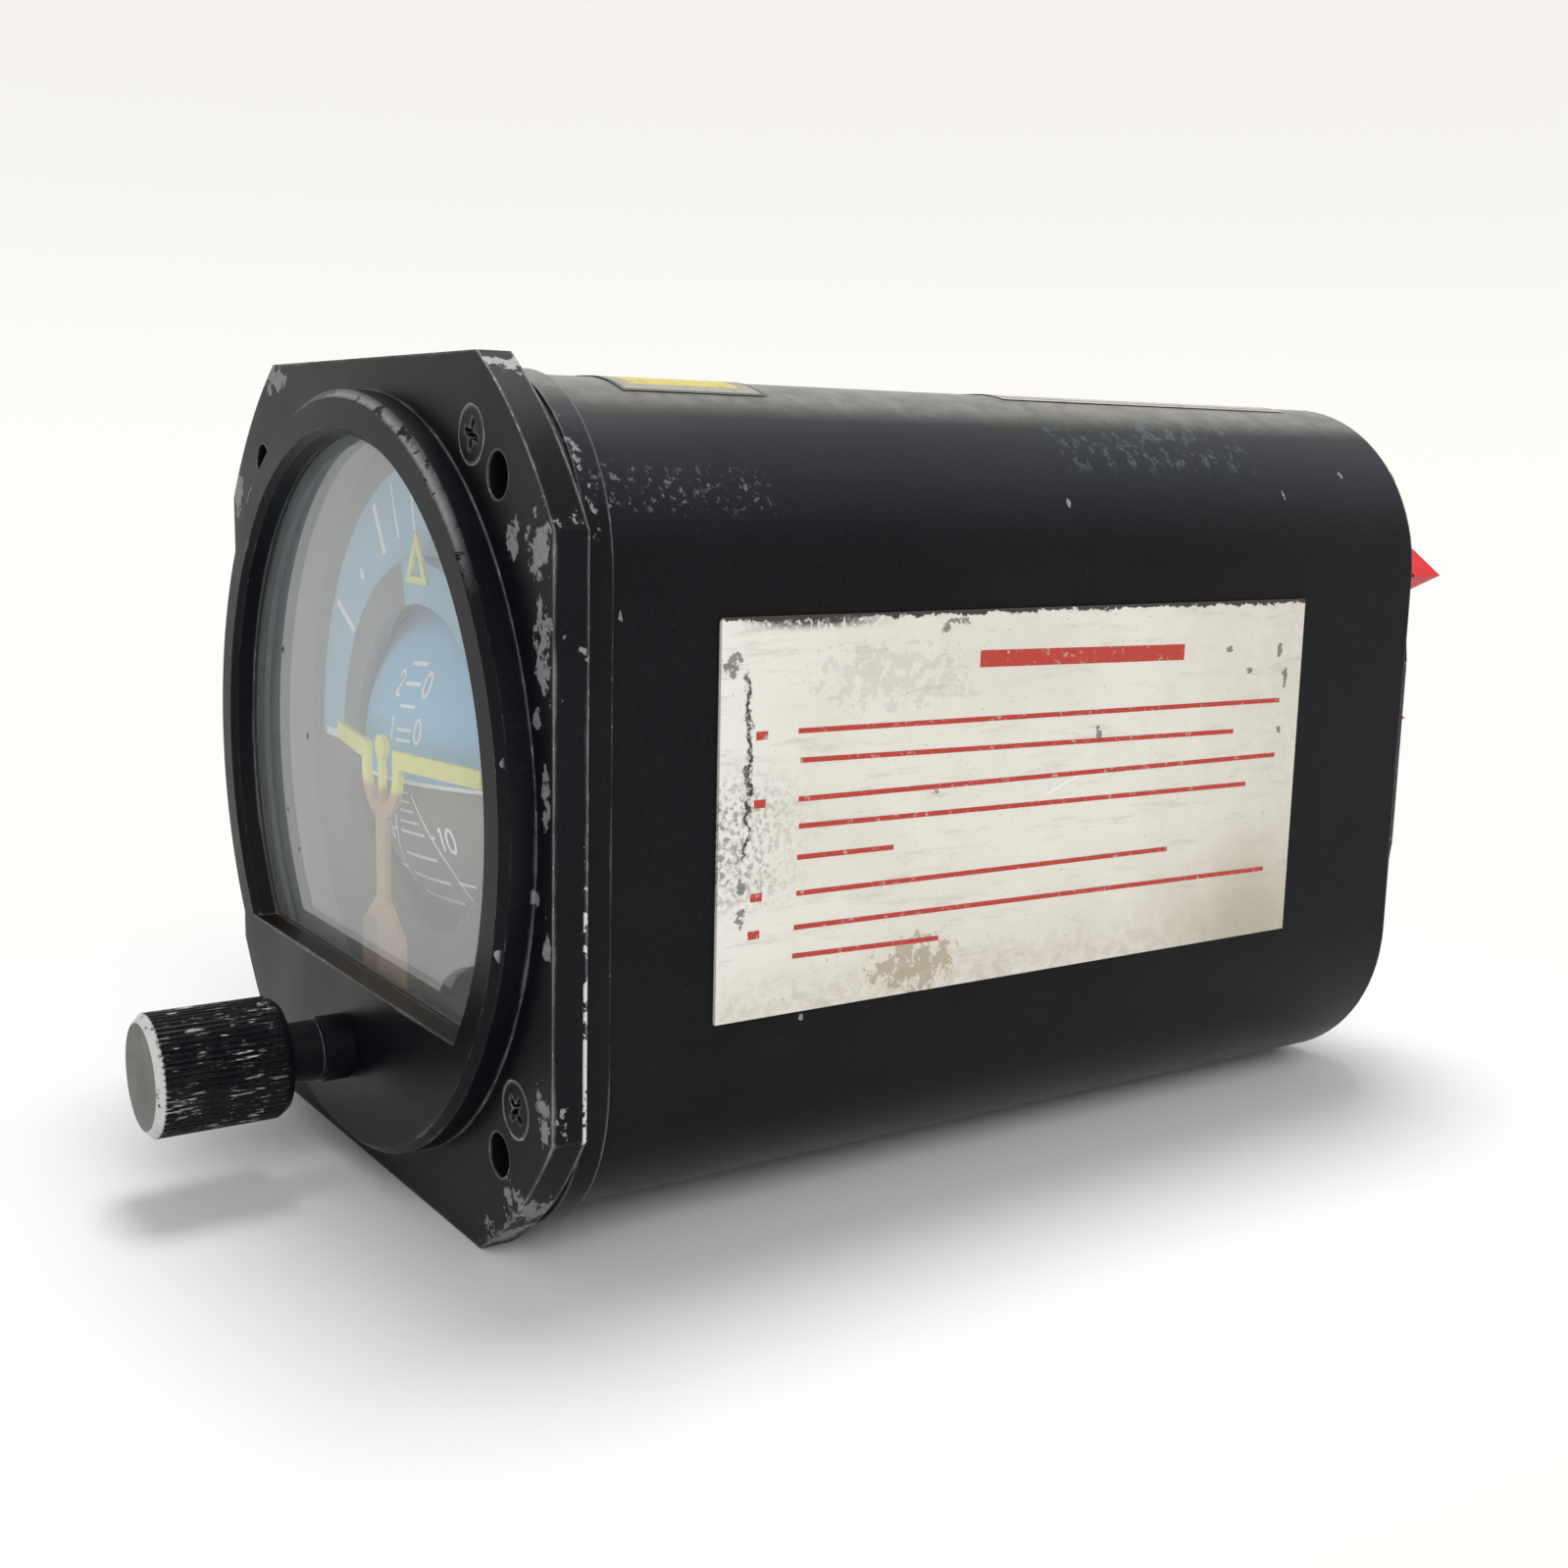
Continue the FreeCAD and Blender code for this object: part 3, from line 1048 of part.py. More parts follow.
def make_vanes():
    low = "-can_half - vane_block_height"
    block = box(("-vane_block_half", "housing_centre - vane_block_half", low),
                ("2 * vane_block_half", "2 * vane_block_half", "vane_block_height"))
    stem = upright("spindle_radius", "can_floor", "-can_half")
    reach = "vane_block_half + vane_thick + 0.3"
    rod_hole = "vane_rod_radius + running_clearance"
    side_hole = cylinder(rod_hole, "2 * vane_block_half",
                         ("-vane_block_half", "housing_centre", "-side_rod_drop"), "X")
    fore_hole = cylinder(rod_hole, "2 * vane_block_half",
                         ("0", "housing_centre - vane_block_half", "-fore_rod_drop"), "Y")
    node("vane_block", cut(fuse(block, stem), side_hole, fore_hole))
    height = "vane_low - vane_top"
    side = [cylinder("vane_rod_radius", f"2 * ({reach})", (f"-({reach})", "housing_centre", "-side_rod_drop"), "X")]
    fore = [cylinder("vane_rod_radius", f"2 * ({reach})",
                     ("0", f"housing_centre - ({reach})", "-fore_rod_drop"), "Y")]
    for near in ("vane_block_half + 0.15", "-(vane_block_half + 0.15 + vane_thick)"):
        side.append(box((near, "housing_centre - vane_half", "-vane_low"), ("vane_thick", "2 * vane_half", height)))
        fore.append(box(("-vane_half", f"housing_centre + {near}", "-vane_low"),
                        ("2 * vane_half", "vane_thick", height)))
    node("side_vanes", fuse(*side))
    node("fore_and_aft_vanes", fuse(*fore))


# --- placard and labels ---------------------------------------------------------------

def make_placard():
    node("side_placard", box(("case_half", "placard_front", "-placard_bottom"),
                             ("placard_thick", "placard_length", "placard_height")))


def make_label(label, left, right, front, length):
    """A label that follows the top of the case."""
    skin = cut(rounded_bar("case_half + label_thick", "case_corner + label_thick", front, length),
               rounded_bar("case_half", "case_corner", front, length))
    patch = box((left, front, "0"), (f"{right} - ({left})", length, "case_half + 1"))
    node(label, common(skin, patch))


def make_labels():
    make_label("front_top_label", "-2", "23", "14", "18")
    make_label("rear_top_label", "-20", "18.5", "66", "42")


# --- the whole instrument -------------------------------------------------------------

def check_document():
    doc.recompute()
    for item in doc.Objects:
        if "Invalid" in item.State or "Error" in item.State:
            raise ValueError("%s (%s) failed: %s" % (item.Name, item.Label, item.State))
    for item in nodes:
        if item.Shape.isNull() or not item.Shape.isValid():
            raise ValueError("%s has no valid shape" % item.Label)


def write_parts():
    os.makedirs("parts", exist_ok=True)
    for item in nodes:
        item.Shape.exportStep(os.path.join("parts", item.Label + ".step"))


fill_sheet()
make_bezel()
make_window()
make_bezel_screws()
make_case()
make_gaskets()
make_rear_cover()
make_ports()
make_knob()
make_knob_fittings()
make_pinion()
make_symbol()
make_slider()
make_guides()
make_card()
make_gimbal_post()
make_gimbal_bearings()
make_roll_frame()
make_pivot_bushes()
make_pointer_ring()
make_ball()
make_crank("ball_crank", "ball_centre")
make_crank("housing_crank", "housing_centre")
make_link()
make_housing()
make_rotor()
make_vanes()
make_placard()
make_labels()
check_document()
write_parts()
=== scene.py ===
"""Looks of a panel mounted attitude indicator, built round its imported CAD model.

Lengths are in millimetres, as in the CAD model's source, and MM turns them into Blender's metres.
X runs to the right as seen from the front, Y to the rear and Z up.
"""

import math

import bpy
from mathutils import Matrix, Vector
from mathutils.geometry import convex_hull_2d


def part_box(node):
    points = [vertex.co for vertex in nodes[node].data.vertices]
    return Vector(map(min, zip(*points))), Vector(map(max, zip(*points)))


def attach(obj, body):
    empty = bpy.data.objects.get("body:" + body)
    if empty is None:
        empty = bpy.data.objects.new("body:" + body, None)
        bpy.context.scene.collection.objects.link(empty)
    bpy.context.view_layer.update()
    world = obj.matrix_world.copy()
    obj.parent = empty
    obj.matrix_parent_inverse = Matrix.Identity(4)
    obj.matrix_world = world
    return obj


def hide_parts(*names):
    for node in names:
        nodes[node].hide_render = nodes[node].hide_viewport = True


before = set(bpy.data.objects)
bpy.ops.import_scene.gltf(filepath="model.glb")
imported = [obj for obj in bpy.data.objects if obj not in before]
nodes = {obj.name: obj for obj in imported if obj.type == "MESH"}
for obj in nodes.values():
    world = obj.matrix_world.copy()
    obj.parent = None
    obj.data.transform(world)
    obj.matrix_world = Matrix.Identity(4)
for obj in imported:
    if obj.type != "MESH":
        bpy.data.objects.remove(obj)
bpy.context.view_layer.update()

MM = 0.001

CAMERA_POSITION = (185.136, -72.123, 33.825)
CAMERA_RIGHT = (0.55399, 0.83219, 0.02341)
CAMERA_UP = (-0.15622, 0.07629, 0.98477)
CAMERA_BACK = (0.81773, -0.54921, 0.17227)
CAMERA_LENS = 43.29
SENSOR_WIDTH = 36.0

# The ball's face is an ellipsoid, and its print leans and sits low.
BALL_RADIUS = 26.0
BALL_ACROSS = 39.7
BALL_CENTRE = 31.0
HORIZON_TILT = math.radians(4.0)
HORIZON_DROP = 1.1

KNOB_DROP = 29.0

# Each sticker's lowest x, highest x, lowest y and highest y.
LABEL_FRONT = (-2.0, 28.6, 14.0, 30.0)
LABEL_REAR = (-20.0, 26.0, 62.0, 106.0)
LABEL_LIFT = 0.12

WING_START = 5.2
WING_STRETCH = 3.0
WING_SWEEP = 2.6

SKY = (0.20, 0.52, 0.80, 1)
GROUND = (0.20, 0.18, 0.16, 1)
INK = (0.95, 0.96, 0.94, 1)
CHIP = (0.33, 0.335, 0.34, 1)
BACKDROP = (0.985, 0.982, 0.955, 1)


# ---------------------------------------------------------------- node helpers

class Finish:
    """A material with short ways to add the nodes that it needs.

    x, y and z are the place on the object in millimetres. A noise's scale is in turns per millimetre.
    """

    def __init__(self, name):
        self.material = bpy.data.materials.new(name)
        self.material.use_nodes = True
        self.tree = self.material.node_tree
        self.shader = self.tree.nodes["Principled BSDF"]
        self.output = self.tree.nodes["Material Output"]
        scale = self.add("ShaderNodeVectorMath", operation="SCALE")
        scale.inputs["Scale"].default_value = 1 / MM
        self.link(self.add("ShaderNodeTexCoord").outputs["Object"], scale.inputs[0])
        self.place = scale.outputs[0]
        self.x, self.y, self.z = self.split(self.place)
        self.flakes = None
        self.flake_scale = 0.45
        self.bright = None

    def add(self, kind, **settings):
        item = self.tree.nodes.new(kind)
        for name, value in settings.items():
            setattr(item, name, value)
        return item

    def link(self, source, target):
        self.tree.links.new(source, target)

    def put(self, value, target):
        if isinstance(value, bpy.types.NodeSocket):
            self.link(value, target)
        else:
            target.default_value = value

    def split(self, vector):
        """The three parts of a vector."""
        parts = self.add("ShaderNodeSeparateXYZ")
        self.link(vector, parts.inputs[0])
        return parts.outputs

    def math(self, operation, first, second=0.0):
        item = self.add("ShaderNodeMath", operation=operation)
        self.put(first, item.inputs[0])
        self.put(second, item.inputs[1])
        return item.outputs[0]

    def times(self, first, *others):
        for other in others:
            first = self.math("MULTIPLY", first, other)
        return first

    def plus(self, first, second):
        return self.math("ADD", first, second)

    def minus(self, first, second):
        return self.math("SUBTRACT", first, second)

    def radius(self, across, up):
        """Distance from the point where both are nought."""
        return self.math("SQRT", self.plus(self.times(across, across), self.times(up, up)))

    def largest(self, first, *others):
        for other in others:
            first = self.math("MAXIMUM", first, other)
        return first

    def noise(self, scale, detail=3.0, roughness=0.55, stretch=None, shift=0.0):
        item = self.add("ShaderNodeTexNoise")
        place = self.place
        if stretch or shift:
            mapping = self.add("ShaderNodeMapping")
            mapping.inputs["Scale"].default_value = stretch or (1, 1, 1)
            mapping.inputs["Location"].default_value = (shift, shift, shift)
            self.link(place, mapping.inputs["Vector"])
            place = mapping.outputs[0]
        self.link(place, item.inputs["Vector"])
        item.inputs["Scale"].default_value = scale
        item.inputs["Detail"].default_value = detail
        item.inputs["Roughness"].default_value = roughness
        return item.outputs[0]

    def step(self, value, low, high, at_low=0.0, at_high=1.0):
        """Goes smoothly from at_low to at_high as value goes from low to high."""
        item = self.add("ShaderNodeMapRange", interpolation_type="SMOOTHSTEP")
        self.put(value, item.inputs["Value"])
        item.inputs["From Min"].default_value = low
        item.inputs["From Max"].default_value = high
        item.inputs["To Min"].default_value = at_low
        item.inputs["To Max"].default_value = at_high
        return item.outputs["Result"]

    def fall(self, value, low, high):
        """One below low, nought above high."""
        return self.step(value, low, high, 1.0, 0.0)

    def band(self, value, low, high, soft=0.1):
        """One between low and high, nought outside."""
        above = self.step(value, low - soft, low + soft)
        return self.times(above, self.fall(value, high - soft, high + soft))

    def blob(self, across, up, centre, size, ragged=0.5):
        """A ragged patch with a crisp border."""
        first = self.math("DIVIDE", self.minus(across, centre[0]), size[0])
        second = self.math("DIVIDE", self.minus(up, centre[1]), size[1])
        square = self.plus(self.times(first, first), self.times(second, second))
        if self.flakes is None:
            self.flakes = self.noise(self.flake_scale, 6.0, 0.7, shift=31.0)
        broken = self.times(self.minus(self.flakes, 0.5), ragged * 9)
        return self.step(self.minus(broken, square), -0.62, -0.5)

    def between(self, share, first, second, kind="FLOAT"):
        """A number that goes from first to second as share goes from nought to one."""
        item = self.add("ShaderNodeMix", data_type=kind)
        self.put(share, item.inputs["Factor"])
        self.put(first, item.inputs["A"])
        self.put(second, item.inputs["B"])
        return item.outputs["Result"]

    def mix(self, share, first, second):
        """A colour that goes from first to second."""
        return self.between(share, first, second, "RGBA")

    def edge(self, radius):
        """How far the surface turns within a radius: nought on flats, larger at edges."""
        bevel = self.add("ShaderNodeBevel", samples=6)
        bevel.inputs["Radius"].default_value = radius * MM
        dot = self.add("ShaderNodeVectorMath", operation="DOT_PRODUCT")
        self.link(bevel.outputs[0], dot.inputs[0])
        self.link(self.add("ShaderNodeNewGeometry").outputs["Normal"], dot.inputs[1])
        return self.minus(1.0, dot.outputs["Value"])

    def bump(self, height, distance, strength=0.5):
        item = self.add("ShaderNodeBump")
        item.inputs["Strength"].default_value = strength
        item.inputs["Distance"].default_value = distance * MM
        self.link(height, item.inputs["Height"])
        self.link(item.outputs[0], self.shader.inputs["Normal"])

    def set(self, **values):
        for name, value in values.items():
            self.put(value, self.shader.inputs[name.replace("_", " ")])

    def rays(self):
        """The kinds of ray that reach the surface."""
        return self.add("ShaderNodeLightPath").outputs

    def blend(self, share, kind, colour):
        """Another shader takes over as share goes from nought to one."""
        other = self.add(kind)
        other.inputs["Color"].default_value = colour
        item = self.add("ShaderNodeMixShader")
        self.link(share, item.inputs[0])
        self.link(self.shader.outputs[0], item.inputs[1])
        self.link(other.outputs[0], item.inputs[2])
        self.link(item.outputs[0], self.output.inputs["Surface"])


# ---------------------------------------------------------------- kinds of finish

def enamel(name, wear, bright=0.0, placed=None, tint=None, shine=0.0, sheen=0.0):
    """Black enamel with fine grain, worn to pale metal at the edges.

    wear and bright say how far the flaked and the rubbed edges reach. placed gives more bare patches,
    tint changes the enamel's colour, and shine says how bright the bare metal is at least.
    """
    f = Finish(name)
    grain = f.noise(2.6, 5.0, 0.7)
    cloud = f.noise(0.07, 3.0, 0.5)
    base = f.mix(f.step(cloud, 0.35, 0.7), (0.0042, 0.0048, 0.0066, 1), (0.0062, 0.0069, 0.0088, 1))
    base = f.mix(f.step(grain, 0.5, 0.8, 0.0, 0.45), base, (0.018, 0.020, 0.024, 1))
    turn = f.edge(0.9)
    flake = f.noise(0.55, 6.0, 0.72)
    where = f.noise(0.13, 2.0, 0.5, shift=7.0)
    limit = f.plus(f.times(flake, 0.9), f.times(where, 1.5))
    worn = f.step(f.plus(limit, f.times(turn, 2.2)), 2.06 - wear, 2.1 - wear)
    worn = f.times(worn, f.step(turn, 0.012, 0.05))
    scratches = f.noise(0.6, 6.0, 0.75, shift=3.0)
    rubbed = f.times(f.step(f.edge(0.25), 0.08, 0.2), f.step(scratches, 0.58 - bright, 0.6 - bright))
    bare = f.largest(worn, rubbed)
    if placed:
        bare = f.largest(bare, *placed(f))
    if f.bright is not None:
        rubbed = f.largest(rubbed, f.bright)
    tone = f.mix(f.noise(1.7, 4.0, 0.6), CHIP, (0.16, 0.165, 0.17, 1))
    tone = f.mix(f.largest(rubbed, shine), tone, (0.62, 0.62, 0.61, 1))
    dust = f.step(f.noise(5.0, 2.0, 0.5, shift=2.0), 0.66, 0.76, 0.0, 0.22)
    base = f.mix(dust, base, (0.10, 0.095, 0.09, 1))
    if tint:
        base = tint(f, base)
    f.set(Base_Color=f.mix(bare, base, tone), Metallic=f.times(bare, 0.35),
          Roughness=f.between(bare, f.step(cloud, 0.3, 0.7, 0.30, 0.38), 0.5),
          Specular_IOR_Level=0.09, Sheen_Weight=sheen, Sheen_Roughness=0.35)
    f.bump(f.minus(f.times(grain, 0.35), f.times(bare, 0.9)), 0.09, 0.55)
    return f.material


def metal(name, low, high, roughness):
    """Bare metal, finely marked and tarnished in patches."""
    f = Finish(name)
    streak = f.noise(3.0, 4.0, 0.6)
    tarnish = f.noise(0.25, 3.0, 0.6, shift=4.0)
    f.set(Base_Color=f.mix(f.step(tarnish, 0.35, 0.75), high, low), Metallic=0.9,
          Roughness=f.step(streak, 0.3, 0.7, roughness - 0.08, roughness + 0.12))
    f.bump(streak, 0.02, 0.4)
    return f.material


def paint(name, colour, shade, roughness=0.6):
    """Matte paint that goes from a colour to a shade of it, chipped at the edges."""
    f = Finish(name)
    cloud = f.noise(0.35, 4.0, 0.6)
    grain = f.noise(5.0, 3.0, 0.6)
    chipped = f.step(f.edge(0.25), 0.05, 0.4, 0.0, 0.35)
    f.set(Base_Color=f.mix(chipped, f.mix(f.step(cloud, 0.3, 0.75), colour, shade), CHIP),
          Roughness=f.step(grain, 0.3, 0.7, roughness - 0.05, roughness + 0.1), Specular_IOR_Level=0.35)
    f.bump(grain, 0.03, 0.4)
    return f.material


def symbol_paint():
    """Yellow wings, an orange tan post below them, and a darker foot with painted shade on its left side.
    """
    split = -1.2
    f = Finish("symbol_finish")
    cloud = f.noise(0.8, 4.0, 0.6)
    faded = f.step(cloud, 0.4, 0.75)
    yellow = f.mix(faded, (0.88, 0.82, 0.16, 1), (0.76, 0.70, 0.13, 1))
    tan = f.mix(faded, (0.52, 0.30, 0.13, 1), (0.40, 0.24, 0.12, 1))
    # Painted shade: the foot is darker on its left side.
    foot = f.mix(f.step(f.x, -1.5, -0.9), (0.30, 0.20, 0.12, 1), (0.45, 0.29, 0.17, 1))
    tan = f.mix(f.fall(f.z, -16.2, -15.8), tan, foot)
    share = f.step(f.plus(f.z, f.times(cloud, 0.8)), split - 0.5, split + 0.5)
    f.set(Base_Color=f.mix(share, tan, yellow), Roughness=f.step(cloud, 0.3, 0.7, 0.5, 0.65))
    f.bump(f.noise(4.0, 3.0, 0.6), 0.03, 0.4)
    return f.material


def darker(colour, share):
    return tuple(part * share for part in colour[:3]) + (1,)


def two_tone(name, height, upper, lower, soft=0.06, extra=None):
    """Matte colour, one above a line and another below it: print on the ball and the card, and on the
    pointer ring grey to the left of a leaning line and blue to the right. extra changes the colour last.
    """
    f = Finish(name)
    cloud = f.noise(0.3, 4.0, 0.6)
    grain = f.noise(6.0, 2.0, 0.5)
    faded = f.step(cloud, 0.3, 0.8)
    top = f.mix(faded, upper, darker(upper, 0.9))
    low = f.mix(faded, lower, darker(lower, 0.85))
    colour = f.mix(f.step(height(f), -soft, soft), low, top)
    if extra:
        colour = extra(f, colour)
    f.set(Base_Color=colour, Roughness=f.step(grain, 0.3, 0.7, 0.62, 0.78), Specular_IOR_Level=0.25)
    f.bump(grain, 0.002, 0.1)
    return f.material


def glass():
    """Clear glass that lets lamps through, with a little dust."""
    f = Finish("window_glass_finish")
    dust = f.step(f.noise(0.12, 4.0, 0.6), 0.3, 0.8)
    f.set(Base_Color=f.mix(dust, (0.97, 0.985, 0.985, 1), (0.93, 0.94, 0.94, 1)),
          Transmission_Weight=0.93, IOR=1.42, Roughness=f.step(dust, 0.0, 1.0, 0.0, 0.02))
    rays = f.rays()
    through = f.largest(rays["Is Shadow Ray"], rays["Is Diffuse Ray"])
    f.blend(through, "ShaderNodeBsdfTransparent", (0.93, 0.95, 0.95, 1))
    return f.material


def rubber():
    """Old black rubber, browned where it shows above the window's sill."""
    f = Finish("seal_rubber_finish")
    grain = f.noise(3.0, 4.0, 0.6)
    dirt = f.noise(0.5, 4.0, 0.6, shift=5.0)
    low = f.times(f.step(f.z, -20.0, -21.0), f.fall(f.y, 2.0, 2.5))
    black = f.mix(f.step(dirt, 0.5, 0.8), (0.018, 0.017, 0.016, 1), (0.05, 0.035, 0.025, 1))
    f.set(Base_Color=f.mix(f.times(low, 0.7), black, (0.030, 0.018, 0.010, 1)),
          Roughness=f.step(grain, 0.3, 0.7, 0.7, 0.85))
    f.bump(grain, 0.04, 0.4)
    return f.material


def red_plastic():
    """Moulded red plastic with faint scuffs."""
    f = Finish("red_cap_finish")
    cloud = f.noise(0.25, 4.0, 0.6)
    scuff = f.step(f.noise(1.1, 5.0, 0.7, (1, 0.3, 1)), 0.62, 0.72, 0.0, 0.25)
    colour = f.mix(f.step(cloud, 0.3, 0.8), (0.64, 0.012, 0.016, 1), (0.52, 0.010, 0.014, 1))
    f.set(Base_Color=f.mix(scuff, colour, (0.70, 0.10, 0.11, 1)),
          Roughness=f.step(cloud, 0.3, 0.7, 0.42, 0.55), Specular_IOR_Level=0.25)
    f.bump(f.noise(1.5, 3.0, 0.5), 0.05, 0.3)
    return f.material


def aged_film(f, cloud, fine, ragged):
    """Off-white film, paler at the left, brown towards the right and the bottom, with stains and grime."""
    pale = f.mix(f.step(cloud, 0.35, 0.7), (0.74, 0.71, 0.63, 1), (0.68, 0.645, 0.56, 1))
    pale = f.mix(f.step(f.y, 17.5, 30.0, 0.7, 0.0), pale, (0.80, 0.775, 0.71, 1))
    corner = f.times(f.step(f.y, 66.0, 92.0), f.step(f.z, -3.0, -16.0))
    pale = f.mix(f.times(corner, f.step(cloud, 0.2, 0.6, 0.5, 1.0)), pale, (0.42, 0.365, 0.27, 1))
    right = f.times(f.step(f.y, 76.0, 94.0), f.step(ragged, 0.3, 0.7, 0.25, 0.55))
    pale = f.mix(right, pale, (0.52, 0.49, 0.40, 1))
    low = f.times(f.step(f.z, -12.0, -18.5), f.step(ragged, 0.35, 0.65, 0.2, 0.8))
    pale = f.mix(f.times(low, 0.55), pale, (0.40, 0.34, 0.25, 1))
    streaks = f.step(f.noise(0.5, 5.0, 0.7, (1, 0.25, 1.6)), 0.52, 0.7, 0.0, 0.32)
    pale = f.mix(streaks, pale, (0.40, 0.36, 0.29, 1))
    stain = f.blob(f.y, f.z, (41.0, -16.0), (5.5, 3.2), 0.7)
    pale = f.mix(f.times(stain, 0.65), pale, (0.33, 0.25, 0.16, 1))
    smudge = f.blob(f.y, f.z, (37.0, 13.2), (9.0, 3.0), 1.2)
    pale = f.mix(f.times(smudge, 0.22), pale, (0.28, 0.28, 0.27, 1))
    grime = f.times(f.fall(f.y, 17.5, 30.0), f.band(f.z, -7.5, 4.0, 2.5))
    grime = f.times(grime, f.step(fine, 0.46, 0.6))
    return f.mix(f.times(grime, 0.75), pale, (0.13, 0.12, 0.10, 1))


def torn_edge(f, fine, ragged):
    """The film is gone along its top edge, most of all near the left."""
    tears = f.step(f.plus(f.times(ragged, 2.2), f.minus(f.z, 19.2)), 0.62, 0.8)
    heavy = f.times(f.band(f.y, 22.0, 34.0, 4.0), f.step(f.z, 17.6, 18.6))
    return f.largest(tears, f.times(heavy, f.step(fine, 0.42, 0.5)))


def long_crack(f, fine):
    """A dark crack that wanders up the film near its left end."""
    wander = f.times(f.minus(f.noise(0.45, 3.0, 0.6, shift=12.0), 0.5), 3.4)
    line = f.math("ABSOLUTE", f.minus(f.plus(f.y, wander), 20.6))
    crack = f.times(f.fall(line, 0.1, 0.42), f.band(f.z, -3.5, 14.0, 0.6))
    return f.times(crack, f.step(fine, 0.4, 0.5))


def slanted_scratch(f):
    """A pale scratch near the middle of the film."""
    line = f.math("ABSOLUTE", f.minus(f.minus(f.z, 0.9), f.times(f.minus(f.y, 60.0), 0.35)))
    return f.times(f.fall(line, 0.05, 0.16), f.band(f.y, 57.5, 63.0, 0.4))


# Centre and size, along and up, of each dark spot on the side placard.
PLACARD_SPOTS = (
    ((18.9, 15.0), (1.0, 1.1)), ((20.2, -5.9), (0.9, 1.2)), ((20.0, -9.0), (0.7, 1.0)),
    ((45.0, 18.2), (1.2, 0.5)), ((43.2, 17.4), (0.8, 0.5)), ((42.5, 1.5), (0.6, 0.6)),
    ((64.2, 6.2), (0.5, 0.9)), ((92.0, 10.5), (0.4, 1.6)), ((91.0, 13.5), (0.4, 1.0)),
    ((83.0, 14.0), (0.8, 0.4)), ((86.5, 11.5), (0.6, 0.4)), ((91.5, 4.5), (0.4, 0.4)))


def placard_film():
    """Aged off-white film, torn along the top, cracked, spotted and scratched."""
    f = Finish("side_placard_finish")
    f.flake_scale = 0.8
    cloud = f.noise(0.06, 5.0, 0.6)
    fine = f.noise(1.6, 6.0, 0.72)
    ragged = f.noise(0.7, 6.0, 0.7, shift=9.0)
    pale = aged_film(f, cloud, fine, ragged)
    tears = torn_edge(f, fine, ragged)
    crack = long_crack(f, fine)
    spots = f.largest(*[f.blob(f.y, f.z, at, size, 0.9) for at, size in PLACARD_SPOTS])
    pepper = f.step(f.noise(3.2, 2.0, 0.5, shift=1.0), 0.71, 0.75, 0.0, 0.6)
    colour = f.mix(f.times(spots, 0.75), pale, (0.06, 0.055, 0.05, 1))
    colour = f.mix(f.largest(tears, crack), colour, (0.035, 0.032, 0.03, 1))
    colour = f.mix(pepper, colour, (0.10, 0.09, 0.08, 1))
    colour = f.mix(f.times(slanted_scratch(f), 0.7), colour, (0.86, 0.85, 0.82, 1))
    f.set(Base_Color=colour, Roughness=f.step(cloud, 0.3, 0.7, 0.42, 0.58), Specular_IOR_Level=0.4)
    f.bump(f.minus(f.times(cloud, 0.5), f.largest(tears, crack, spots)), 0.06, 0.5)
    return f.material


def faded_ink(name, colour, patch):
    """Printed ink, rubbed away where a noise passes patch."""
    f = Finish(name)
    worn = f.step(f.noise(1.4, 6.0, 0.7), patch, patch + 0.1)
    f.set(Base_Color=f.mix(f.times(worn, 0.55), colour, (0.62, 0.56, 0.48, 1)),
          Roughness=f.step(worn, 0.0, 1.0, 0.5, 0.65))
    return f.material


def sticker(name, middle, border, outline, box, widths):
    """A rectangular sticker with an outline and a border, drawn by its place on the top. The front
    sticker's black outline is painted shadow along its edge.
    """
    f = Finish(name)
    cloud = f.noise(0.4, 5.0, 0.65)
    low_x, high_x, low_y, high_y = box

    def inside(inset):
        across = f.band(f.x, low_x + inset, high_x - inset)
        return f.times(across, f.band(f.y, low_y + inset, high_y - inset))

    middle_inset, border_inset = widths
    colour = f.mix(inside(middle_inset), f.mix(inside(border_inset), outline, border), middle)
    scuff = f.step(f.noise(0.9, 6.0, 0.7, shift=4.0), 0.56, 0.64, 0.0, 0.7)
    colour = f.mix(scuff, colour, (0.10, 0.09, 0.07, 1))
    f.set(Base_Color=f.mix(f.times(cloud, 0.3), colour, (0.2, 0.18, 0.12, 1)),
          Roughness=f.step(cloud, 0.3, 0.7, 0.4, 0.55))
    f.bump(cloud, 0.03, 0.4)
    return f.material


# ---------------------------------------------------------------- wear of this instrument

# Centre and size, across and up, of each bare patch on the flange's face and sides.
FLANGE_PATCHES = (
    ((39.6, 25.5), (2.2, 3.2)), ((40.3, 17.0), (1.6, 5.0)), ((40.9, 4.0), (0.9, 2.6)),
    ((36.0, 41.0), (3.4, 1.8)), ((-27.0, 41.0), (4.5, 1.6)), ((30.5, 41.4), (2.6, 1.0)),
    ((31.0, -40.6), (3.6, 1.9)), ((40.6, -25.0), (1.6, 2.6)), ((-40.8, 29.0), (1.8, 4.5)),
    ((34.5, -36.0), (2.0, 3.4)), ((41.2, -8.0), (0.8, 2.6)), ((34.6, 26.4), (1.4, 2.2)),
    ((39.0, -5.0), (0.7, 1.0)), ((39.2, 11.0), (0.7, 1.2)))
# Centres of small chips, across and up on the raised ring, and along and up on the housing's side.
RING_CHIPS = ((38.6, 7.0), (37.6, -10.5))
SIDE_CHIPS = ((7.4, 19.5), (60.5, 29.6), (104.0, 33.0), (27.5, -19.6), (93.0, 30.5))


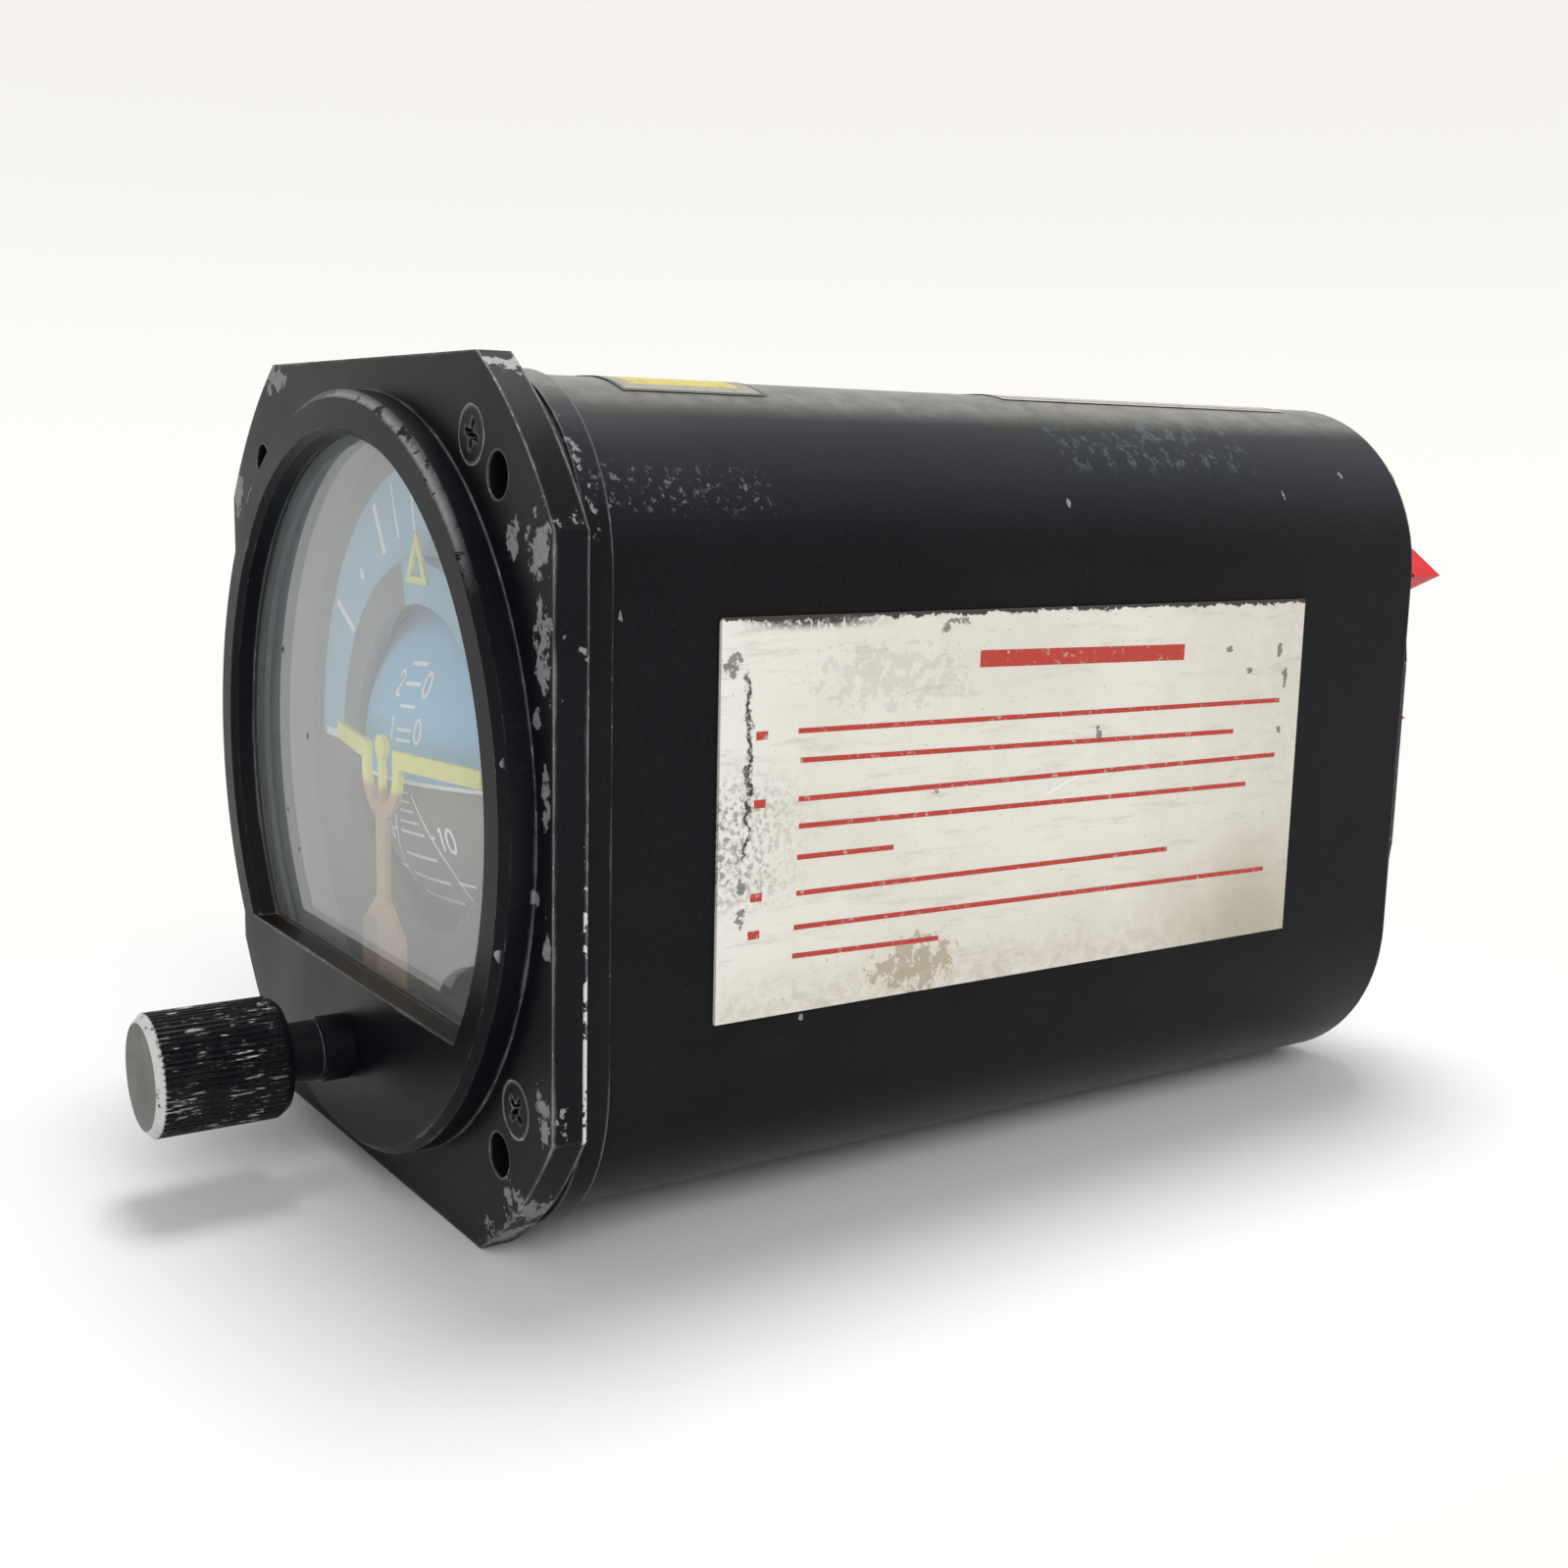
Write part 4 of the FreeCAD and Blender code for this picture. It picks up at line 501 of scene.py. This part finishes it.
def flange_wear(f):
    """Bare patches on the flange, a worn rim on the raised ring, and a bright line down a rear corner."""
    on_flange = f.step(f.y, -0.5, -0.2)
    on_ring = f.fall(f.y, -3.0, -2.6)
    patches = [f.times(f.blob(f.x, f.z, at, size, 1.0), on_flange) for at, size in FLANGE_PATCHES]
    chips = [f.times(f.blob(f.x, f.z, at, (0.6, 0.8), 0.3), on_ring) for at in RING_CHIPS]
    rim = f.times(f.band(f.radius(f.x, f.z), 38.5, 39.5, 0.2), f.fall(f.y, -3.2, -2.2))
    rim = f.times(rim, f.times(f.band(f.x, -4.0, 30.0, 4.0), f.step(f.z, 18.0, 24.0)))
    rim = f.times(rim, f.step(f.flakes, 0.42, 0.46))
    corner = f.times(f.step(f.x, 42.0, 42.2), f.step(f.y, 2.9, 3.1))
    broken = f.plus(f.noise(0.5, 5.0, 0.7, shift=31.0), f.step(f.z, 16.0, -14.0, -0.1, 0.1))
    broken = f.times(f.band(f.z, -33.0, 16.0, 1.0), f.step(broken, 0.57, 0.60))
    f.bright = f.times(corner, broken)
    return patches + [rim] + chips + [f.bright]


def side_wear(f):
    """Small chips on the housing's side, and pale flecks along its shoulder and its front collar."""
    f.flake_scale = 1.2
    side = f.step(f.x, 30.0, 34.0)
    chips = [f.times(f.blob(f.y, f.z, at, (0.28, 0.5), 0.7), side) for at in SIDE_CHIPS]
    fleck = f.step(f.noise(1.3, 5.0, 0.7, shift=8.0), 0.56, 0.66)
    shoulder = f.times(f.band(f.z, 28.6, 32.6, 0.8), f.band(f.y, 4.0, 24.0, 3.0))
    shoulder = f.times(f.times(shoulder, side), f.times(fleck, 0.5))
    collar = f.times(f.band(f.z, 26.0, 36.0, 1.5), f.band(f.y, 3.0, 5.2, 0.3))
    collar = f.times(collar, f.step(f.noise(0.9, 5.0, 0.7, shift=15.0), 0.55, 0.58))
    return chips + [shoulder, collar]


def knob_wear(f):
    """Bright worn streaks along the knurl, and a bare bevel at the front."""
    streak = f.step(f.noise(3.4, 4.0, 0.7, (1, 0.12, 1), 2.0), 0.56, 0.60, 0.0, 0.9)
    where = f.step(f.noise(0.35, 3.0, 0.6, shift=6.0), 0.46, 0.58)
    crest = f.step(f.radius(f.x, f.plus(f.z, KNOB_DROP)), 6.08, 6.24)
    bevel = f.times(f.fall(f.y, -23.75, -23.5), f.step(f.noise(0.8, 5.0, 0.7, shift=9.0), 0.34, 0.44))
    return [f.times(f.times(streak, where), crest), bevel]


def sill_rust(f, base):
    """Brown rust and dirt along the window's flat sill."""
    sill = f.times(f.band(f.z, -22.6, -20.7, 0.2), f.band(f.y, -3.1, 1.0, 0.2))
    sill = f.times(sill, f.band(f.x, -28.5, 28.5, 0.5))
    patch = f.step(f.noise(0.35, 5.0, 0.7, shift=17.0), 0.36, 0.52, 0.25, 0.9)
    return f.mix(f.times(sill, patch), base, (0.018, 0.011, 0.007, 1))


def top_dust_and_reflection(f, base):
    """A brownish film on the top face that thins down the shoulders, partly dust and partly painted
    reflection, a faint bluish painted reflection on the faces that look upwards, and a faint smudge by the
    rear.
    """
    up = f.split(f.add("ShaderNodeNewGeometry").outputs["Normal"])["Z"]
    cloud = f.noise(0.3, 5.0, 0.7, shift=14.0)
    film = f.times(f.step(up, 0.80, 0.94), f.step(cloud, 0.3, 0.7, 0.55, 1.0))
    # Painted reflection: faces that look upwards are painted a lighter bluish tone.
    base = f.mix(f.times(f.step(up, 0.2, 0.7), 0.3), base, (0.055, 0.061, 0.074, 1))
    # The film on the top is partly dust and partly painted reflection of the pale surroundings.
    base = f.mix(film, base, (0.225, 0.220, 0.192, 1))
    smudge = f.times(f.band(f.y, 62.0, 90.0, 1.5), f.band(f.z, 33.0, 38.4, 0.8))
    faint = f.step(f.noise(0.5, 5.0, 0.75, (1.4, 1.4, 0.6), 27.0), 0.52, 0.6, 0.0, 0.24)
    return f.mix(f.times(f.times(smudge, faint), f.step(f.x, 25.0, 28.0)), base, (0.20, 0.25, 0.32, 1))


def screw_recess_shade(f, base):
    """Painted shade: near black in the cross recess."""
    return f.mix(f.step(f.y, 0.1, 0.22), base, (0.001, 0.001, 0.001, 1))


def ball_height(f):
    """Height above the printed horizon, which leans and sits low."""
    across = f.times(f.x, -math.sin(HORIZON_TILT))
    up = f.times(f.z, math.cos(HORIZON_TILT))
    return f.plus(f.plus(across, up), HORIZON_DROP)


def card_height(f):
    """Height above the line where the card turns from blue to grey."""
    return f.plus(f.z, 0.4)


def card_wall(f, colour):
    """Dark grey beyond the printed ring."""
    return f.mix(f.step(f.radius(f.x, f.z), 32.4, 32.7), colour, (0.10, 0.105, 0.11, 1))


def ring_height(f):
    """Distance to the right of a line that leans from the top of the ring."""
    return f.plus(f.x, f.times(f.z, 0.21))


def ring_sides(f, colour):
    """Dark below the horizon, and the wall behind the plate painted as the ball is."""
    sky = f.step(ball_height(f), -0.1, 0.1)
    colour = f.mix(sky, (0.10, 0.098, 0.095, 1), colour)
    return f.mix(f.step(f.y, 7.82, 7.9), colour, f.mix(sky, GROUND, SKY))


finishes = {
    "bezel": enamel("bezel_enamel", 0.30, 0.01, flange_wear, sill_rust),
    "case_shell": enamel("case_enamel", 0.02, -0.06, side_wear, top_dust_and_reflection, sheen=0.08),
    "rear_cover": enamel("rear_enamel", 0.22, 0.02),
    "knob": enamel("knob_enamel", -1.0, -0.4, knob_wear, shine=0.85),
    "black_screw": enamel("screw_black", 0.1, 0.03, tint=screw_recess_shade),
    "window_glass": glass(),
    "rubber": rubber(),
    "zinc": metal("zinc_finish", (0.36, 0.34, 0.30, 1), (0.56, 0.55, 0.52, 1), 0.36),
    "brass": metal("brass_finish", (0.42, 0.27, 0.10, 1), (0.66, 0.46, 0.19, 1), 0.34),
    "aluminium": metal("aluminium_finish", (0.50, 0.50, 0.50, 1), (0.68, 0.69, 0.70, 1), 0.38),
    "grey_disc": paint("grey_disc_finish", (0.16, 0.16, 0.145, 1), (0.11, 0.11, 0.10, 1)),
    "inner_grey": paint("inner_grey_finish", (0.14, 0.15, 0.155, 1), (0.11, 0.115, 0.12, 1), 0.7),
    "symbol": symbol_paint(),
    "sky_pointer": paint("pointer_yellow_finish", (0.80, 0.78, 0.22, 1), (0.68, 0.66, 0.2, 1)),
    "red": red_plastic(),
    "placard": placard_film(),
    "ball": two_tone("ball_print_finish", ball_height, SKY, GROUND),
    "card": two_tone("card_print_finish", card_height, (0.26, 0.49, 0.68, 1), (0.15, 0.14, 0.13, 1),
                     extra=card_wall),
    # The pointer ring is grey to the left of a line that leans from its top and blue to the right of it.
    "pointer_ring": two_tone("pointer_ring_finish", ring_height, (0.20, 0.42, 0.60, 1),
                             (0.14, 0.15, 0.16, 1), 0.1, ring_sides),
    # The front sticker's black outline is painted shadow under its edge.
    "front_label": sticker("front_label_finish", (0.62, 0.50, 0.07, 1), (0.30, 0.29, 0.24, 1),
                           (0.02, 0.02, 0.02, 1), LABEL_FRONT, (2.0, 0.5)),
    "rear_label": sticker("rear_label_finish", (0.50, 0.48, 0.43, 1), (0.02, 0.02, 0.02, 1),
                          (0.46, 0.44, 0.40, 1), LABEL_REAR, (1.3, 0.9)),
}

FINISH_NODES = {
    "bezel": ("bezel",),
    "case_shell": ("case_shell",),
    "rear_cover": ("rear_cover",),
    "knob": ("knob_bushing", "trim_knob"),
    "black_screw": ("bezel_screws", "knob_shaft"),
    "window_glass": ("window_glass",),
    "rubber": ("window_gasket", "bezel_gasket", "rear_gasket"),
    "zinc": ("retainer_screws", "rear_cover_screws", "guide_screws", "pinion_clip", "ball_spindles",
             "gimbal_bearing_inner_races", "gimbal_bearing_outer_races", "rotor_bearings",
             "pitch_trunnions", "rotor_shaft"),
    "brass": ("bushing_nut", "slider_guides", "trim_pinion", "symbol_slider", "pivot_bushes", "rotor_wheel",
              "vacuum_outlet_fitting", "air_inlet_fitting"),
    "aluminium": ("gimbal_post", "ball_crank", "pitch_link", "rotor_housing", "housing_cover",
                  "housing_crank", "vane_block", "side_vanes", "fore_and_aft_vanes"),
    "grey_disc": ("knob_cap",),
    "inner_grey": ("glass_retainer", "card_spacer"),
    "symbol": ("airplane_symbol",),
    "sky_pointer": ("sky_pointer",),
    "red": ("vacuum_outlet_plug", "air_inlet_plug"),
    "placard": ("side_placard",),
    "ball": ("horizon_ball", "roll_frame"),
    "card": ("bank_scale_card",),
    "pointer_ring": ("pointer_ring",),
    "front_label": ("front_top_label",),
    "rear_label": ("rear_top_label",),
}

for finish_name, node_names in FINISH_NODES.items():
    for node_name in node_names:
        for material_slot in nodes[node_name].material_slots:
            material_slot.material = finishes[finish_name]


# ---------------------------------------------------------------- mesh helpers

def show(name, mesh):
    item = bpy.data.objects.new(name, mesh)
    bpy.context.scene.collection.objects.link(item)
    return item


def new_mesh(name, points, faces, finish):
    mesh = bpy.data.meshes.new(name)
    mesh.from_pydata([Vector(point) * MM for point in points], [], faces)
    mesh.update()
    mesh.materials.append(finish)
    return show(name, mesh)


def mesh_piece(name, points, faces, finish, body):
    piece = new_mesh(name, points, faces, finish)
    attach(piece, body)
    return piece


# ---------------------------------------------------------------- printed marks

class Marks:
    """Flat strokes collected into one piece. surface turns a place across and up into a point."""

    def __init__(self, surface):
        self.surface = surface
        self.points = []
        self.faces = []

    def stroke(self, start, end, width, end_width=None, pieces=8):
        """A straight stroke in pieces, so that it follows a curved surface."""
        end_width = end_width or width
        run = Vector(end) - Vector(start)
        side = Vector((-run.y, run.x)).normalized()
        first = len(self.points)
        for index in range(pieces + 1):
            share = index / pieces
            middle = Vector(start) + run * share
            half = (width + (end_width - width) * share) / 2
            for sign in (-1, 1):
                spot = middle + side * (sign * half)
                self.points.append(self.surface(spot.x, spot.y))
        for index in range(pieces):
            corner = first + 2 * index
            self.faces.append((corner, corner + 2, corner + 3, corner + 1))

    def level(self, half, height, width):
        """A level stroke, as long to the left as to the right."""
        self.stroke((-half, height), (half, height), width)

    def path(self, spots, width, pieces=2):
        for start, end in zip(spots, spots[1:]):
            self.stroke(start, end, width, None, pieces)

    def digit(self, figure, across, up):
        """Stroke figures nought, one and two."""
        height = 2.5
        half = height * 0.29
        tall = height / 2
        turns = [i * math.pi / 8 for i in range(17)]
        shapes = {
            "0": [(half * math.sin(turn), tall * math.cos(turn)) for turn in turns],
            "1": [(-half * 0.5, tall * 0.62), (0, tall), (0, -tall)],
            "2": [(-half, tall * 0.5), (-half * 0.6, tall * 0.9), (0, tall), (half * 0.7, tall * 0.85),
                  (half, tall * 0.4), (half * 0.6, 0), (-half, -tall), (half, -tall)],
        }
        self.path([(across + x, up + z) for x, z in shapes[figure]], 0.42)

    def piece(self, name, finish, body, slot):
        return mesh_piece(name, self.points, self.faces, finish, body)


def on_ball(across, up):
    """A point of the leaning display, just off the ball's face."""
    lift = 0.06
    x = across * math.cos(HORIZON_TILT) - up * math.sin(HORIZON_TILT)
    z = across * math.sin(HORIZON_TILT) + up * math.cos(HORIZON_TILT)
    shape = 1 - (x / BALL_ACROSS) ** 2 - (z / BALL_RADIUS) ** 2
    return (x, BALL_CENTRE - BALL_RADIUS * math.sqrt(max(shape, 0.0)) - lift, z)


def make_pitch_marks(ink):
    """The horizon line, the pitch bars with their figures, and the ladder that widens below the horizon."""
    ladder_side = ((1.9, -2.4), (4.7, -6.7), (6.7, -9.8), (8.2, -13.9))
    sky_bars = ((1.9, 3.2, 0.32), (1.9, 4.3, 0.42), (1.9, 6.76, 0.32), (1.9, 9.1, 0.42), (1.9, 11.2, 0.42),
                (0.8, 1.9, 0.25), (0.8, 0.7, 0.25))
    ladder_bars = ((1.2, -2.3, 0.22), (1.4, -3.3, 0.22), (1.7, -4.3, 0.3), (2.5, -5.5, 0.3),
                   (3.2, -6.7, 0.34), (4.3, -9.3, 0.38), (5.0, -11.8, 0.38), (5.5, -14.0, 0.4))
    marks = Marks(on_ball)
    marks.stroke((-16.2, -HORIZON_DROP), (16.2, -HORIZON_DROP), 0.42, None, 24)
    for half, height, width in sky_bars:
        marks.level(half, height, width)
    for figure, across, up in (("2", -3.4, 9.1), ("0", 3.4, 9.1), ("1", -3.2, 4.3), ("0", 3.4, 4.3)):
        marks.digit(figure, across, up)
    for half, height, width in ladder_bars:
        marks.level(half, height, width)
    for side in (-1, 1):
        marks.path([(side * across, up) for across, up in ladder_side], 0.34, 8)
        marks.stroke((side * 4.6, -6.7), (side * 5.6, -6.7), 0.34, None, 2)
        marks.stroke((side * 6.9, -11.4), (side * 10.2, -11.5), 0.38)
        marks.digit("1", side * 7.9 - 0.9, -6.7)
        marks.digit("0", side * 7.9 + 0.8, -6.7)
    marks.piece("pitch_marks", ink, "horizon_ball", "ball_print")


def make_bank_marks(ink):
    """Ticks round the card at the usual bank angles, with a diamond at 45 degrees."""
    card_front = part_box("bank_scale_card")[0].y / MM - 0.05
    inner, outer = 25.4, 31.5
    diamond = ((26.5, 27.4, 0.05, 1.3), (27.4, 28.3, 1.3, 0.05))
    marks = Marks(lambda across, up: (across, card_front, up))

    def outward(side, angle):
        turn = math.radians(angle)
        return Vector((side * math.sin(turn), math.cos(turn)))

    for angle, width in ((10, 0.45), (20, 0.45), (30, 0.9), (60, 0.9), (90, 1.0)):
        for side in (-1, 1):
            marks.stroke(outward(side, angle) * inner, outward(side, angle) * outer, width)
    for side in (-1, 1):
        for start, end, width, end_width in diamond:
            marks.stroke(outward(side, 45) * start, outward(side, 45) * end, width, end_width, 2)
    marks.piece("bank_marks", ink, "case", "card_print")


def make_glass_specks():
    """Crossed specks of dirt on the window."""
    glass_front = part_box("window_glass")[0].y / MM - 0.02
    specks = Marks(lambda across, up: (across, glass_front, up))
    places = ((-25.0, 10.5, 0.9), (-17.5, 1.5, 0.7), (-24.5, -8.0, 0.6), (-21.0, -12.0, 0.5))
    for across, up, size in places:
        left, right = (across - size / 3, up), (across + size / 3, up + size / 4)
        bottom, top = (across, up - size / 2), (across + size / 5, up + size / 2)
        specks.stroke(left, right, size * 0.5, size * 0.2, 3)
        specks.stroke(bottom, top, size * 0.15, size * 0.35, 3)
    specks.piece("glass_specks", finishes["rubber"], "case", "seal_rubber")


def make_placard_rules():
    """Plain rules, a heading bar and four list marks on the side placard."""
    placard_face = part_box("side_placard")[1].x / MM + 0.03
    line, heading, mark = 0.5, 1.7, 0.8
    strokes = (((26.1, 8.4), (91.4, 7.9), line), ((26.4, 5.6), (84.3, 4.8), line),
               ((26.3, 1.9), (91.2, 1.7), line), ((26.4, -0.7), (86.8, -1.3), line),
               ((26.3, -3.7), (37.7, -3.8), line), ((26.3, -7.2), (75.1, -7.6), line),
               ((26.1, -10.5), (90.6, -11.4), line), ((26.0, -13.3), (43.7, -13.7), line),
               ((47.7, 14.3), (76.0, 13.9), heading),
               ((21.4, 8.2), (22.7, 8.2), mark), ((21.3, 1.8), (22.6, 1.8), mark),
               ((21.1, -7.1), (22.4, -7.1), mark), ((20.9, -10.7), (22.2, -10.7), mark))
    rules = Marks(lambda along, up: (placard_face, along, up))
    for start, end, width in strokes:
        rules.stroke(start, end, width, None, 1)
    red_ink = faded_ink("rule_ink_finish", (0.44, 0.035, 0.02, 1), 0.56)
    rules.piece("placard_rules", red_ink, "case", "placard_vinyl")


# ---------------------------------------------------------------- reshaped pieces

def reshaped(name, node, move, body):
    """A copy of a node's mesh with its points moved, which stands for that node."""
    mesh = nodes[node].data.copy()
    mesh.name = name
    for vertex in mesh.vertices:
        vertex.co = move(vertex.co / MM) * MM
    mesh.update()
    piece = show(name, mesh)
    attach(piece, body)
    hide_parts(node)


def swept_wing(point):
    """The wings are longer and lean back towards their tips."""
    if abs(point.x) < WING_START or point.z < -2:
        return point
    return Vector((point.x + math.copysign(WING_STRETCH, point.x), point.y + WING_SWEEP, point.z))


def rear_cover_taper():
    """A move that draws the rear cover's outline in from the housing, most of all at the rear."""
    low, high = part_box("rear_cover")
    front_size, taper = 0.966, 0.066
    outline_band = 0.1
    places = [(vertex.co.x, vertex.co.z) for vertex in nodes["rear_cover"].data.vertices]
    outline = {(round(places[i][0], 6), round(places[i][1], 6)) for i in convex_hull_2d(places)}

    def move(point):
        on_outline = (round(point.x * MM, 6), round(point.z * MM, 6)) in outline
        if not on_outline and max(abs(point.x), abs(point.z)) < high.x / MM - outline_band:
            return point
        share = (point.y * MM - low.y) / (high.y - low.y)
        size = front_size - taper * share
        return Vector((point.x * size, point.y, point.z * size))

    return move


def draped_label(name, node, box, finish):
    """A thin sticker that follows the housing's top and shoulder."""
    across_steps = 40
    along_steps = 6
    above = 80.0
    low_x, high_x, low_y, high_y = box
    points = []
    bpy.context.view_layer.update()
    for row in range(along_steps + 1):
        for column in range(across_steps + 1):
            x = low_x + (high_x - low_x) * column / across_steps
            y = low_y + (high_y - low_y) * row / along_steps
            start = Vector((x, y, above)) * MM
            _, spot, normal, _ = nodes["case_shell"].ray_cast(start, Vector((0, 0, -1)))
            points.append((spot + normal * LABEL_LIFT * MM) / MM)
    width = across_steps + 1
    corners = [row * width + column for row in range(along_steps) for column in range(across_steps)]
    faces = [(corner, corner + 1, corner + width + 1, corner + width) for corner in corners]
    piece = mesh_piece(name, points, faces, finish, "case")
    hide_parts(node)


# ---------------------------------------------------------------- stage

def floor_finish():
    """Pale grey near the object, where the shadow shows, and the backdrop's own white beyond."""
    half_width, half_length, middle = 42.0, 62.0, 56.0
    f = Finish("floor_finish")
    across = f.largest(f.minus(f.math("ABSOLUTE", f.x), half_width), 0.0)
    along = f.largest(f.minus(f.math("ABSOLUTE", f.minus(f.y, middle)), half_length), 0.0)
    cloud = f.noise(0.006, 3.0, 0.5)
    f.set(Base_Color=f.mix(f.step(cloud, 0.3, 0.7), (0.885, 0.885, 0.885, 1), (0.865, 0.865, 0.868, 1)),
          Roughness=0.7, Specular_IOR_Level=0.2)
    f.bump(f.noise(0.5, 3.0, 0.6), 0.02, 0.1)
    rays = f.rays()
    seen = f.largest(rays["Is Camera Ray"], f.largest(rays["Is Glossy Ray"], rays["Is Transmission Ray"]))
    share = f.times(f.step(f.radius(across, along), 18.0, 85.0), seen)
    f.blend(share, "ShaderNodeEmission", BACKDROP)
    return f.material


def make_floor():
    """A round table top under the flange's lower edge, sloping up to meet the rear of the case."""
    slope = math.tan(math.radians(0.866))
    centre_x, centre_y = 10.0, 50.0
    rings = (60, 120, 200, 300, 450, 700, 1100, 1800, 3000)
    parts = 64
    low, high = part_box("bezel")

    def point(x, y):
        return (x, y, low.z / MM + (y - high.y / MM) * slope)

    points = [point(centre_x, centre_y)]
    for radius in rings:
        for index in range(parts):
            turn = 2 * math.pi * index / parts
            points.append(point(centre_x + radius * math.cos(turn), centre_y + radius * math.sin(turn)))
    faces = [(0, 1 + index, 1 + (index + 1) % parts) for index in range(parts)]
    for ring in range(len(rings) - 1):
        inner = 1 + ring * parts
        outer = inner + parts
        for index in range(parts):
            following = (index + 1) % parts
            faces.append((inner + index, outer + index, outer + following, inner + following))
    floor = new_mesh("floor", points, faces, floor_finish())


def make_world():
    """Even pale light. The camera and reflections see a backdrop instead, which greys towards the top."""
    world = bpy.data.worlds.new("studio")
    bpy.context.scene.world = world
    world.use_nodes = True
    tree = world.node_tree
    link = tree.links.new
    light = tree.nodes["Background"]
    light.inputs["Color"].default_value = (0.93, 0.945, 0.96, 1)
    light.inputs["Strength"].default_value = 0.38
    direction = tree.nodes.new("ShaderNodeTexCoord")
    parts = tree.nodes.new("ShaderNodeSeparateXYZ")
    height = tree.nodes.new("ShaderNodeMapRange")
    height.interpolation_type = "SMOOTHSTEP"
    height.inputs["From Min"].default_value = -0.02
    height.inputs["From Max"].default_value = 0.2
    sky = tree.nodes.new("ShaderNodeMix")
    sky.data_type = "RGBA"
    sky.inputs["A"].default_value = BACKDROP
    sky.inputs["B"].default_value = (0.915, 0.893, 0.853, 1)
    seen = tree.nodes.new("ShaderNodeBackground")
    rays = tree.nodes.new("ShaderNodeLightPath")
    either = tree.nodes.new("ShaderNodeMath")
    either.operation = "MAXIMUM"
    blend = tree.nodes.new("ShaderNodeMixShader")
    link(direction.outputs["Generated"], parts.inputs[0])
    link(parts.outputs["Z"], height.inputs["Value"])
    link(height.outputs["Result"], sky.inputs["Factor"])
    link(sky.outputs["Result"], seen.inputs["Color"])
    link(rays.outputs["Is Camera Ray"], either.inputs[0])
    link(rays.outputs["Is Glossy Ray"], either.inputs[1])
    link(either.outputs[0], blend.inputs[0])
    link(light.outputs[0], blend.inputs[1])
    link(seen.outputs[0], blend.inputs[2])
    link(blend.outputs[0], tree.nodes["World Output"].inputs["Surface"])


def make_lamp(name, place, size, power):
    """A round soft lamp, its place and size in metres, aimed at the instrument's front half."""
    target = Vector((0.0, 0.05, 0.0))
    lamp = bpy.data.lights.new(name, "AREA")
    lamp.shape = "DISK"
    lamp.size = size
    lamp.energy = power
    item = show(name, lamp)
    item.location = place
    item.rotation_euler = (target - Vector(place)).to_track_quat("-Z", "Y").to_euler()


def make_camera():
    """The camera, where the photograph was taken from."""
    data = bpy.data.cameras.new("camera")
    data.lens = CAMERA_LENS
    data.sensor_width = SENSOR_WIDTH
    data.clip_start = 0.005
    item = show("camera", data)
    columns = [Vector(axis).normalized() for axis in (CAMERA_RIGHT, CAMERA_UP, CAMERA_BACK)]
    place = Matrix.Translation(Vector(CAMERA_POSITION) * MM)
    item.matrix_world = place @ Matrix(columns).transposed().to_4x4()
    bpy.context.scene.camera = item


# ---------------------------------------------------------------- the scene

scale_ink = faded_ink("scale_ink_finish", INK, 0.74)
make_pitch_marks(scale_ink)
make_bank_marks(scale_ink)
make_glass_specks()
make_placard_rules()
draped_label("front_top_sticker", "front_top_label", LABEL_FRONT, finishes["front_label"])
draped_label("rear_top_sticker", "rear_top_label", LABEL_REAR, finishes["rear_label"])
reshaped("swept_symbol", "airplane_symbol", swept_wing, "airplane")
reshaped("tapered_rear_cover", "rear_cover", rear_cover_taper(), "case")
make_floor()
make_world()
make_lamp("ceiling_lamp", (-0.26, 0.27, 1.37), 0.6, 13.5)
make_lamp("side_lamp", (1.1, -0.35, 0.75), 1.2, 10.2)
make_camera()
bpy.context.scene.view_settings.view_transform = "Standard"
